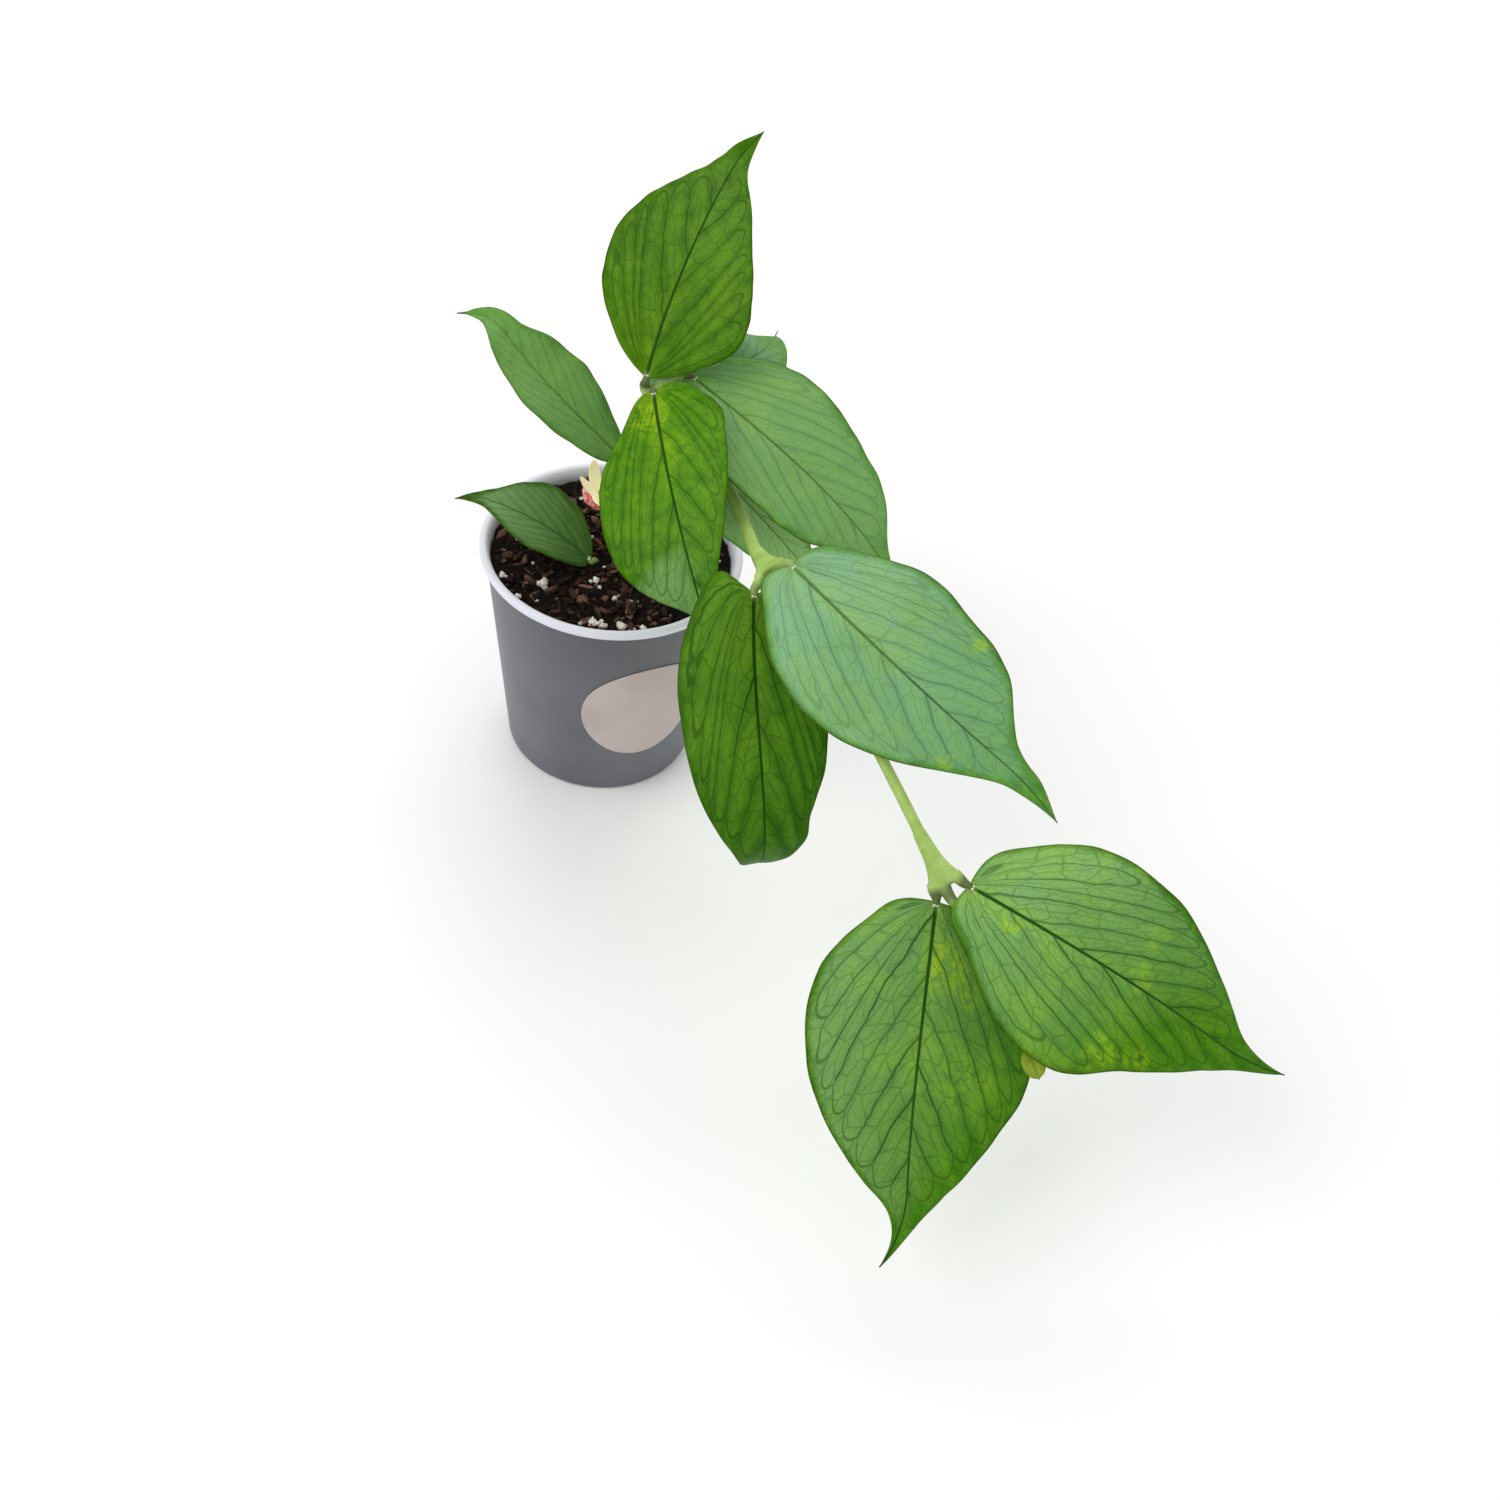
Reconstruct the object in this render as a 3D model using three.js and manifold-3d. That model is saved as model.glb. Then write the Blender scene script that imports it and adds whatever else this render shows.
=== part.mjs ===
// A fishtail hoya, a climbing plant with broad paired leaves, in a round tapered plant pot.
//
// Sizes are millimetres and +Z is up. The origin is the centre of the pot's flat underside.
// The vine rises from the soil and leans out over the rim towards -Y, with a pair of leaves at
// each node. Each leaf, the vine, the flowers' petals and coronas, the soil, the pot and its
// blank round label is a closed body of its own.

import * as THREE from 'three';
import { mergeVertices } from 'three/addons/utils/BufferGeometryUtils.js';
import Module from 'manifold-3d';

const wasm = await Module();
wasm.setup();

// Clearance left between two pieces that touch on the real plant.
const SEAT = 0.3;

// Pot: a thin tapered cup with a turned-out lip and a ring of drain holes round a solid middle.
const POT = {
  height: 88,
  rimRadius: 45,
  lipHeight: 2.8,
  lipCorner: 0.5,
  wallTopRadius: 42.8,
  baseRadius: 34,
  wall: 1.4,
  floor: 2.2,
  corner: 1.4,
  sides: 60,
  drainCount: 6,
  drainRadius: 3,
  drainCircle: 22,
  drainSides: 16,
};

// Label: a blank round sticker wrapped on the front of the wall.
const LABEL = { radius: 23, thickness: 0.4, centreHeight: 44, bearing: 24.5, rings: 4, turns: 36 };

// Soil: fills the pot to a little below the rim, with a lumpy top.
const SOIL = {
  topHeight: 84,
  lump: 0.9,
  levelPower: 6,
  rings: 9,
  turns: 32,
  holeDepth: 15.5,
  holeAbove: 4,
  holeClearance: 0.65,
  holeSides: 12,
};

// The soil's lumps are two sets of crossing waves: [radians per mm along X, along Y, start].
const SOIL_WAVES = { broad: [[0.31, 0, 0.9], [0, 0.27, -0.4]], fine: [[0.83, -0.55, 0], [0.62, 0.91, 1.7]] };
const SOIL_SHARES = { broad: 0.8, fine: 0.45 };

// Vine: the line it follows from the soil to its last node, with the stem's radius at each stop.
const VINE_LINE = [
  [5.5, 8, 69, 2.1],
  [6, 9, 82, 2.1],
  [8.5, 12.5, 97, 2.1],
  [6.5, 15.5, 112, 2.2],
  [8, 13.5, 130, 2.0],
  [8.5, 10.5, 142, 2.1],
  [12, 10.5, 146, 2.0],
  [19, 9, 144, 2.1],
  [28, -4, 135, 2.0],
  [35.8, -19, 129.8, 2.0],
  [39.8, -31.3, 128.6, 2.0],
  [42.7, -43.4, 129.2, 2.0],
  [46.2, -57, 130.2, 2.0],
  [57, -77.5, 130.4, 1.8],
  [70, -101, 125, 1.7],
  [81.5, -117, 114, 1.65],
  [91, -133, 106, 1.7],
  [98.5, -147, 99.5, 1.7],
];
const VINE_SIDES = 8;
const RINGS = { vine: 48, shoot: 8, sideStem: 12, flowerStalk: 12, leafStalk: 6, wedge: 5 };

// The young end of the vine, past its last node, and the side stem of the low leaf.
const SHOOT_LINE = [
  [98.5, -146.5, 99, 2],
  [100.8, -151.3, 97.9, 1.6],
  [104.2, -155.8, 97.5, 1.1],
  [111, -166.5, 92.4, 0.9],
];
const SIDE_STEM_LINE = [
  [-1.2, -1.2, 69, 1.3],
  [-4.6, -4.4, 82, 1.3],
  [-5.8, -5.6, 84.8, 1.2],
];

// Nodes: where the stem starts to flatten, and where it forks into the stalks of two leaves.
const NODES = {
  first: { from: [7.6, 14, 105], at: [6.5, 15.5, 112], leaves: ['leaf_left', 'leaf_back'] },
  second: { from: [8.2, 12, 138.5], at: [8.1, 8, 144.7], leaves: ['leaf_top', 'leaf_centre'] },
  third: { from: [13.5, 10.5, 146], at: [19, 10, 147.3], leaves: ['leaf_right', 'leaf_under'] },
  fourth: { from: [43, -45.4, 129.5], at: [47.1, -64.1, 136.7], leaves: ['leaf_front', 'leaf_broad'] },
  fifth: { from: [91.5, -134, 105.5], at: [99.8, -147.7, 99.2], leaves: ['leaf_end_left', 'leaf_end_right'] },
};
const FLARE = { startHalf: 1.9, endHalf: 5.8, thickHalf: 1.7, middle: 0.6, middleHalf: 3.1 };
const LEAF_STALK = { startHalf: 1.8, endHalf: 1.35, thickHalf: 1.2, inside: 2.5, straight: 1.0, gap: 0.9 };
const LOW_STALK = { radius: 0.95, gap: 1.0 };
const SHOOT_STALK_HALF = 0.9;

// Leaves: where each blade starts and ends, where its upper face looks, its width, and how it
// bends. arch lifts the middle of the midrib, droop bows its outer part and hook turns its tip
// down. bow moves the middle to the left and swing turns the tip to the left. fold raises each
// half by so many degrees, lean widens the left half, slant moves the left margin towards the
// tip, lobe draws the base back round the stalk, and skew draws the left side back further, or
// the right side if it is below 0. widest is the share of the length where the blade is widest,
// and blunt rounds its end. edges moves the left margin, then the right one, outwards at the
// places of EDGE_PLACES. Left is seen from above, with the tip ahead.
const LEAVES = {
  leaf_top: {
    base: [6.8, 9.7, 148.9], tip: [38.6, 69.3, 205.3], face: [-0.45, -0.8, 0.75], width: 52.83,
    arch: 3, hook: 0.87, bow: 3.28, swing: -3.34, fold: 8,
    lean: -0.06, slant: 0.22, lobe: -0.33, skew: -0.8, widest: 0.38,
    edges: [[0.6, 1.5, 0.5, -1.9, -1.5, 1.1], [0.9, 2.8, 0.2, -2.4, -0.3, 0.6]],
  },
  leaf_left: {
    base: [0.1, 15.4, 113.5], tip: [-55.5, 35.8, 149.5], face: [0.1, -0.2, 0.9], width: 30.62,
    arch: 4, hook: -12.39, bow: 1.78, swing: 2.96, fold: 14, lean: 0.08,
    slant: 0.04, lobe: 1.35, skew: 0.12, widest: 0.43, blunt: 0.3,
    edges: [[1, -0.7, -0.1, -0.9, 0.6, -1.7], [0.8, 0.1, 1, 0.3, -1.4, 1.1]],
  },
  leaf_low: {
    base: [-7.4, -7.6, 86.5], tip: [-52.4, -3.8, 105], face: [0.15, -0.2, 1], width: 28.35,
    arch: 5, bow: -1.46, swing: 3.58, fold: 12, lean: -0.04, slant: 0.02, lobe: 1.4, widest: 0.4,
    edges: [[0, 0, 0, 0, -0.7, 0.5], [0, 0, 0.9, -0.6, -0.5, 0.1]],
  },
  leaf_centre: {
    base: [9.5, 2.9, 148.7], tip: [31.7, -64.3, 105.6], face: [-0.15, -0.4, 0.75], width: 44.06,
    arch: 14, hook: 0.45, bow: -0.93, swing: -1.06, fold: 4, lean: -0.04,
    slant: -0.49, lobe: 3.09, widest: 0.43,
    edges: [[2, 1.7, -1.3, -1.8, -0.3, 1.5], [-1.7, 0.7, 0, 0, 0, -0.5]],
  },
  leaf_right: {
    base: [21.5, 11.6, 149.9], tip: [92.9, -32.9, 108], face: [0, -0.3, 0.9], width: 49,
    arch: 8, droop: 3, bow: -1.21, swing: -0.21, fold: 6, lean: 0.04,
    slant: -0.2, lobe: 2.27, skew: -0.09, widest: 0.34, blunt: 0.24,
    edges: [[-2.5, -0.1, -0.6, 0.8, 3.2, -0.9], [0.1, -0.8, -1.2, 0.8, -0.7, 0]],
  },
  leaf_back: {
    base: [13.5, 21, 115.5], tip: [49.8, 43.7, 149.3], face: [0.1, -0.5, 0.9], width: 38.5,
    arch: 8, droop: 10, hook: -3, bow: -2, swing: 5.47, fold: 8,
    lean: 0.1, slant: -0.04, lobe: 1.4, blunt: 0.8,
    edges: [[0.8, 0.4, 0, 0, 0, -2], [0, 0, 0, 0, 0.1, -0.6]],
  },
  leaf_under: {
    base: [19.4, -1.8, 134.6], tip: [72.4, -37.2, 101.7], face: [0.45, -0.35, 0.8], width: 35.23,
    arch: 3, bow: -0.11, fold: 8, lean: -0.2, slant: 0.23, lobe: 1.39,
  },
  leaf_front: {
    base: [42.3, -70.2, 133.4], tip: [50, -100.8, 48.1], face: [0.15, -0.9, 0.55], width: 43.55,
    arch: 10, droop: 22, hook: -5, bow: -2.96, swing: -0.76, fold: 4, lean: -0.06,
    slant: 0.1, lobe: 2.5, skew: -1.08, widest: 0.3, blunt: 0.42,
    edges: [[-5, 0.6, -0.2, -1.6, 1.5, -0.3], [-0.3, 0.5, 0.1, -0.5, -1.6, -0.3]],
  },
  leaf_broad: {
    base: [52.4, -64.8, 140.4], tip: [130.4, -132, 111.1], face: [-0.25, -0.3, 0.9], width: 54.6,
    arch: 5, hook: -1.51, bow: -1.62, swing: -2.88, fold: 6, lean: -0.04, slant: 0.16, lobe: 2.27,
    edges: [[0.5, 1.2, -1, 0.7, -2.8, 1], [-2, 0.2, 1.2, 0.3, -1.2, -0.2]],
  },
  leaf_end_left: {
    base: [97.1, -150.6, 95.5], tip: [87.7, -227.8, 29.2], face: [0, -0.6, 0.8], width: 63.69,
    arch: 4, hook: -2.88, bow: 0.3, swing: -6.86, fold: 6,
    lean: -0.04, slant: 0.08, lobe: 0.92, skew: -0.09,
    edges: [[0, 0, 1.1, -0.9, 0.3, -0.5], [-1.2, 0.1, 0, 0.2, 0, -1.4]],
  },
  leaf_end_right: {
    base: [105.4, -148.8, 101.1], tip: [196.8, -187.9, 75.1], face: [-0.1, -0.35, 0.95], width: 61.79,
    arch: 5, hook: -0.92, bow: -1.15, swing: 5.27, fold: 6, lean: -0.04,
    slant: 0.05, lobe: 1.62, skew: -0.31, widest: 0.36,
    edges: [[0.1, 1.1, -0.3, -0.9, -0.4, -0.5], [-3, 1.1, 3, -2.1, -1, -0.6]],
  },
  leaf_young: {
    base: [121, -189.6, 83], tip: [124.4, -196.6, 79.8], face: [-0.1, -0.3, 0.95], width: 6.5,
    arch: 0.6, fold: 12, lobe: 0.6, blunt: 1,
  },
};
const BLADE = { thickness: 0.8, baseHalf: 0.8, tipHalf: 0.2, wave: 0.7, waves: 2.5, steps: 18, strips: 6 };
const WAVE_LAG = 1.3;
const NEXT_LEAF_PHASE = 1.9;
const FULL_WAVE_WIDTH = 40;

// How far the blade's cross rows bunch up towards its base and tip, from 0 to 1.
const BUNCHING = 0.5;

// The blade's outline: the half width at each share of the length, against the widest.
const OUTLINE = [
  [0, 0], [0.02, 0.24], [0.05, 0.43], [0.09, 0.58], [0.16, 0.79], [0.25, 0.94], [0.36, 1],
  [0.48, 0.95], [0.6, 0.78], [0.71, 0.53], [0.79, 0.31], [0.85, 0.17], [0.91, 0.09], [1, 0],
];
const OUTLINE_WIDEST = 0.36;
const BLUNT = { end: 0.96, fall: 3, power: 0.6 };
const EDGE_PLACES = [0.1, 0.25, 0.42, 0.6, 0.76, 0.9];
const LOBE_REACH = 0.05;
const LOBE_SPREAD = 1.3;
const TIP_START = 0.78;
const MIDRIB_STEP = 0.004;

// Flower: it hangs from the first node and looks down. The corolla is a five-pointed star bent
// back from its face, and the corona is a crown of five lumps on the face. lobe is the way that
// one of the five points lies from the centre.
const FLOWER = {
  centre: [-5.8, 11.8, 99.9],
  face: [-0.5, 0.125, -0.857],
  lobe: [-0.84, -0.3, 0.45],
  stalkBend: [0.5, 12.6, 109.4],
  stalkRadius: 0.75,
  stalkRun: 4,
  stalkSides: 6,
};
const COROLLA = {
  points: 5,
  slimness: 1.6,
  tipRadius: 10.4,
  notchRadius: 4.8,
  bendBack: 4.6,
  thickness: 0.85,
  rings: 5,
  turns: 30,
};
const CORONA = {
  lumps: 5,
  core: 1.9,
  reach: 3.1,
  length: 2.5,
  width: 1.8,
  height: 1.35,
  lift: 2.3,
  dip: 0.25,
};
const BALL_SIDES = 8;
const BALL_RINGS = 6;

const COLOURS = {
  pot: { color: 0x6d6e78, roughness: 0.45 },
  label: { color: 0xe6dcdc, roughness: 0.6 },
  soil: { color: 0x2e1f1b, roughness: 0.95 },
  stem: { color: 0xa9c567, roughness: 0.5 },
  leaf: { color: 0x4f8f2a, roughness: 0.4 },
  young: { color: 0xb9cf5a, roughness: 0.4 },
  petal: { color: 0xf8ecc4, roughness: 0.6 },
  corona: { color: 0xd9707a, roughness: 0.5 },
};

const vec = (point) => new THREE.Vector3(point[0], point[1], point[2]);

// The part of a direction square to another, at length one.
function squareTo(direction, axis) {
  return direction.clone().addScaledVector(axis, -direction.dot(axis)).normalize();
}

// A closed body from corner points and triangles, turned so that its faces point out.
function closedBody(points, triangles) {
  let volume = 0;
  for (const [a, b, c] of triangles) {
    volume += points[a].dot(points[b].clone().cross(points[c]));
  }
  const index = triangles.flatMap(([a, b, c]) => (volume > 0 ? [a, b, c] : [a, c, b]));
  const geometry = new THREE.BufferGeometry().setFromPoints(points);
  geometry.setIndex(index);
  return geometry;
}

// A geometry as a solid that can be joined and cut.
function solidOf(geometry) {
  const bare = geometry.clone();
  bare.deleteAttribute('normal');
  bare.deleteAttribute('uv');
  const merged = mergeVertices(bare, 1e-4);
  return new wasm.Manifold(
    new wasm.Mesh({
      numProp: 3,
      vertProperties: new Float32Array(merged.attributes.position.array),
      triVerts: new Uint32Array(merged.index.array),
    }),
  );
}

// A solid back as a geometry.
function geometryOf(solid) {
  const mesh = solid.getMesh();
  const geometry = new THREE.BufferGeometry();
  geometry.setAttribute('position', new THREE.BufferAttribute(mesh.vertProperties, 3));
  geometry.setIndex(new THREE.BufferAttribute(mesh.triVerts, 1));
  return geometry;
}

function joined(geometries) {
  return geometryOf(geometries.map(solidOf).reduce((sum, next) => sum.add(next)));
}

// A plate from two grids of points with the same rows and columns, one for each face, split into
// triangles alike on both faces and closed round the edge.
function plate(upper, lower) {
  const rows = upper.length;
  const columns = upper[0].length;
  const points = [...upper.flat(), ...lower.flat()];
  const at = (row, column, face) => face * rows * columns + row * columns + column;
  const triangles = [];
  for (let row = 0; row + 1 < rows; row += 1) {
    for (let column = 0; column + 1 < columns; column += 1) {
      const corner = [[row, column], [row + 1, column], [row + 1, column + 1], [row, column + 1]];
      const [a, b, c, d] = corner.map(([i, j]) => at(i, j, 0));
      const [e, f, g, h] = corner.map(([i, j]) => at(i, j, 1));
      triangles.push([a, b, c], [a, c, d], [e, g, f], [e, h, g]);
    }
  }
  const edge = [];
  for (let row = 0; row < rows; row += 1) edge.push([row, 0]);
  for (let column = 1; column < columns; column += 1) edge.push([rows - 1, column]);
  for (let row = rows - 2; row >= 0; row -= 1) edge.push([row, columns - 1]);
  for (let column = columns - 2; column > 0; column -= 1) edge.push([0, column]);
  edge.forEach(([row, column], i) => {
    const [nextRow, nextColumn] = edge[(i + 1) % edge.length];
    const [a, b] = [at(row, column, 0), at(row, column, 1)];
    const [c, d] = [at(nextRow, nextColumn, 0), at(nextRow, nextColumn, 1)];
    triangles.push([a, b, d], [a, d, c]);
  });
  return closedBody(points, triangles);
}

// A round plate: rings about a middle point on each face, closed round the edge. place(share,
// angle, face) is the point at that share of the radius, on face 0 or 1.
function roundPlate(rings, turns, place) {
  const points = [];
  const triangles = [];
  const at = (ring, turn, face) => face * (1 + rings * turns) + 1 + (ring - 1) * turns + (turn % turns);
  for (const face of [0, 1]) {
    points.push(place(0, 0, face));
    for (let ring = 1; ring <= rings; ring += 1) {
      for (let turn = 0; turn < turns; turn += 1) {
        points.push(place(ring / rings, (2 * Math.PI * turn) / turns, face));
      }
    }
  }
  const flip = (face, [a, b, c]) => (face ? [a, c, b] : [a, b, c]);
  for (let turn = 0; turn < turns; turn += 1) {
    for (const face of [0, 1]) {
      const middle = face * (1 + rings * turns);
      triangles.push(flip(face, [middle, at(1, turn, face), at(1, turn + 1, face)]));
      for (let ring = 1; ring < rings; ring += 1) {
        const [a, b] = [at(ring, turn, face), at(ring + 1, turn, face)];
        const [c, d] = [at(ring + 1, turn + 1, face), at(ring, turn + 1, face)];
        triangles.push(flip(face, [a, b, c]), flip(face, [a, c, d]));
      }
    }
    const [a, b] = [at(rings, turn, 0), at(rings, turn, 1)];
    const [c, d] = [at(rings, turn + 1, 0), at(rings, turn + 1, 1)];
    triangles.push([a, b, d], [a, d, c]);
  }
  return closedBody(points, triangles);
}

// A stalk: oval rings strung along a smooth line through its stops, closed at both ends. Each
// stop is x, y, z and a half width, then a half thickness where that differs.
function stalk(stops, across, rings, sides = VINE_SIDES) {
  const line = new THREE.CatmullRomCurve3(stops.map(vec), false, 'centripetal');
  const girth = new THREE.CatmullRomCurve3(
    stops.map(([, , , wide, thick = wide]) => new THREE.Vector3(wide, thick, 0)),
    false,
    'centripetal',
  );
  const points = [];
  const triangles = [];
  for (let ring = 0; ring <= rings; ring += 1) {
    const share = ring / rings;
    const middle = line.getPoint(share);
    const tangent = line.getTangent(share);
    const { x: wide, y: thick } = girth.getPoint(share);
    const side = squareTo(across, tangent);
    const top = tangent.clone().cross(side);
    for (let i = 0; i < sides; i += 1) {
      const angle = (2 * Math.PI * i) / sides;
      const [out, over] = [wide * Math.cos(angle), thick * Math.sin(angle)];
      points.push(middle.clone().addScaledVector(side, out).addScaledVector(top, over));
    }
  }
  for (let ring = 0; ring < rings; ring += 1) {
    for (let i = 0; i < sides; i += 1) {
      const next = (i + 1) % sides;
      const [a, b] = [ring * sides + i, ring * sides + next];
      triangles.push([a, b, b + sides], [a, b + sides, a + sides]);
    }
  }
  const last = rings * sides;
  for (let i = 1; i + 1 < sides; i += 1) {
    triangles.push([0, i + 1, i], [last, last + i, last + i + 1]);
  }
  return closedBody(points, triangles);
}

// A smooth curve through a table of [place, value] pairs that never overshoots them.
function smoothTable(table, place) {
  const last = table.length - 1;
  const slope = (i) => (table[i + 1][1] - table[i][1]) / (table[i + 1][0] - table[i][0]);
  const bend = (i) => {
    if (i === 0) return slope(0);
    if (i === last) return slope(last - 1);
    const [before, after] = [slope(i - 1), slope(i)];
    return before * after > 0 ? (2 * before * after) / (before + after) : 0;
  };
  const found = table.findIndex(([x]) => x > place);
  const i = found < 0 ? last - 1 : found - 1;
  const [[x0, y0], [x1, y1]] = [table[i], table[i + 1]];
  const t = (place - x0) / (x1 - x0);
  const run = x1 - x0;
  const held = (1 + 2 * t) * (1 - t) ** 2 * y0 + t ** 2 * (3 - 2 * t) * y1;
  return held + run * t * (1 - t) ** 2 * bend(i) - run * t ** 2 * (1 - t) * bend(i + 1);
}

// The midrib of a leaf at a share of its length: its place, its direction, the direction its
// upper face looks and the direction of its left margin.
function midrib(leaf, share) {
  const { arch = 0, droop = 0, hook = 0, bow = 0, swing = 0 } = leaf;
  const [base, tip] = [vec(leaf.base), vec(leaf.tip)];
  const chord = tip.clone().sub(base);
  const along = chord.clone().normalize();
  const up = squareTo(vec(leaf.face), along);
  const left = up.clone().cross(along);
  const place = (s) => {
    const curl = Math.max(0, (s - TIP_START) / (1 - TIP_START)) ** 2 - s ** 3;
    const middle = 4 * s * (1 - s);
    const outer = (27 / 4) * s * s * (1 - s);
    return base
      .clone()
      .addScaledVector(chord, s)
      .addScaledVector(up, arch * middle + droop * outer + hook * curl)
      .addScaledVector(left, bow * middle + swing * curl);
  };
  const [before, after] = [Math.max(0, share - MIDRIB_STEP), Math.min(1, share + MIDRIB_STEP)];
  const tangent = place(after).sub(place(before)).normalize();
  const normal = squareTo(up, tangent);
  return { place: place(share), tangent, normal, left: normal.clone().cross(tangent) };
}

// A blade's half width at a share of its length. A blunt one swells towards a rounded end.
function halfWidth(leaf, share) {
  const { widest = OUTLINE_WIDEST, blunt = 0, width } = leaf;
  const place = share ** (Math.log(OUTLINE_WIDEST) / Math.log(widest));
  const pointed = smoothTable(OUTLINE, place);
  const past = THREE.MathUtils.clamp((place - OUTLINE_WIDEST) / (BLUNT.end - OUTLINE_WIDEST), 0, 1);
  const widestHalf = smoothTable(OUTLINE, Math.min(place, OUTLINE_WIDEST));
  const rounded = widestHalf * (1 - past ** BLUNT.fall) ** BLUNT.power;
  const least = share < 0.5 ? BLADE.baseHalf : BLADE.tipHalf;
  return Math.max(least, ((pointed + blunt * Math.max(0, rounded - pointed)) * width) / 2);
}

// How much further out than its outline a blade's margin runs at a share of its length, on the
// left for side 1 and on the right for side -1.
function edgeShift(leaf, share, side) {
  if (!leaf.edges) return 0;
  const shifts = leaf.edges[side > 0 ? 0 : 1];
  return smoothTable([[0, 0], ...EDGE_PLACES.map((place, i) => [place, shifts[i]]), [1, 0]], share);
}

// A leaf blade: its two faces lie half a thickness above and below a surface that is folded
// along the midrib, drawn back at the base and gently waved along its margins.
function bladeGeometry(leaf, phase) {
  const { fold = 0, lean = 0, slant = 0, lobe = 0, skew = 0 } = leaf;
  const length = vec(leaf.tip).distanceTo(vec(leaf.base));
  const tilt = THREE.MathUtils.degToRad(fold);
  const scale = Math.min(1, leaf.width / FULL_WAVE_WIDTH);
  const faces = [[], []];
  for (let step = 0; step <= BLADE.steps; step += 1) {
    const even = step / BLADE.steps;
    const bunched = (1 - Math.cos(Math.PI * even)) / 2;
    const share = (1 - BUNCHING) * even + BUNCHING * bunched;
    const rib = midrib(leaf, share);
    const half = halfWidth(leaf, share);
    const drawnBack = lobe * share * Math.exp(-share / LOBE_REACH) * length;
    const rows = [[], []];
    for (let strip = 0; strip <= BLADE.strips; strip += 1) {
      const u = (2 * strip) / BLADE.strips - 1;
      const [out, side] = [Math.abs(u), Math.sign(u)];
      const reach = Math.max(BLADE.tipHalf, half * (1 + lean * side) + edgeShift(leaf, share, side));
      const turn = 2 * Math.PI * BLADE.waves * share + phase + (side > 0 ? 0 : WAVE_LAG);
      const wave = BLADE.wave * scale * out ** 2 * Math.sin(turn) * Math.sqrt(Math.sin(Math.PI * share));
      const back = drawnBack * out ** LOBE_SPREAD * (1 + Math.max(0, skew * side));
      const point = rib.place
        .clone()
        .addScaledVector(rib.left, u * reach * Math.cos(tilt))
        .addScaledVector(rib.normal, out * reach * Math.sin(tilt) + wave)
        .addScaledVector(rib.tangent, slant * u * half - back);
      const skyward = rib.normal
        .clone()
        .multiplyScalar(Math.cos(tilt))
        .addScaledVector(rib.left, -side * Math.sin(tilt));
      for (const face of [0, 1]) {
        rows[face].push(point.clone().addScaledVector(skyward, (0.5 - face) * BLADE.thickness));
      }
    }
    faces[0].push(rows[0]);
    faces[1].push(rows[1]);
  }
  return plate(faces[0], faces[1]);
}

// The pot's radius outside the wall, and inside it, at a height.
const wallOuter = (z) => {
  const share = z / (POT.height - POT.lipHeight);
  return POT.baseRadius + (POT.wallTopRadius - POT.baseRadius) * share;
};
const wallInner = (z) => wallOuter(z) - POT.wall;

function potGeometry() {
  const { height, rimRadius, lipHeight, lipCorner, floor, corner } = POT;
  const lipBottom = height - lipHeight;
  const profile = [
    [0, 0],
    [wallOuter(0) - corner, 0],
    [wallOuter(corner), corner],
    [wallOuter(lipBottom), lipBottom],
    [rimRadius - lipCorner, lipBottom],
    [rimRadius, lipBottom + lipCorner],
    [rimRadius, height - lipCorner],
    [rimRadius - lipCorner, height],
    [wallInner(height) + lipCorner, height],
    [wallInner(height - 2 * lipCorner), height - 2 * lipCorner],
    [wallInner(floor + corner), floor + corner],
    [wallInner(floor) - corner, floor],
    [0, floor],
  ];
  const lathe = new THREE.LatheGeometry(profile.map(([r, z]) => new THREE.Vector2(r, z)), POT.sides);
  lathe.rotateX(Math.PI / 2);
  let cup = solidOf(lathe);
  for (let i = 0; i < POT.drainCount; i += 1) {
    const angle = (2 * Math.PI * i) / POT.drainCount;
    const drill = new THREE.CylinderGeometry(POT.drainRadius, POT.drainRadius, 4 * floor, POT.drainSides);
    drill.rotateX(Math.PI / 2);
    drill.translate(POT.drainCircle * Math.cos(angle), POT.drainCircle * Math.sin(angle), floor / 2);
    cup = cup.subtract(solidOf(drill));
  }
  return geometryOf(cup);
}

function labelGeometry() {
  const bearing = THREE.MathUtils.degToRad(LABEL.bearing);
  return roundPlate(LABEL.rings, LABEL.turns, (share, angle, face) => {
    const z = LABEL.centreHeight + LABEL.radius * share * Math.sin(angle);
    const sweep = (LABEL.radius * share * Math.cos(angle)) / wallOuter(LABEL.centreHeight);
    const radius = wallOuter(z) + SEAT + face * LABEL.thickness;
    return new THREE.Vector3(radius * Math.sin(bearing + sweep), -radius * Math.cos(bearing + sweep), z);
  });
}

// The lumps of bark and grit on the soil's top, as a height above its mean level.
function soilLump(x, y) {
  const turn = ([alongX, alongY, start]) => alongX * x + alongY * y + start;
  const broad = Math.sin(turn(SOIL_WAVES.broad[0])) * Math.cos(turn(SOIL_WAVES.broad[1]));
  const fine = Math.sin(turn(SOIL_WAVES.fine[0])) + Math.cos(turn(SOIL_WAVES.fine[1]));
  return SOIL.lump * (SOIL_SHARES.broad * broad + SOIL_SHARES.fine * fine);
}

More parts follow.
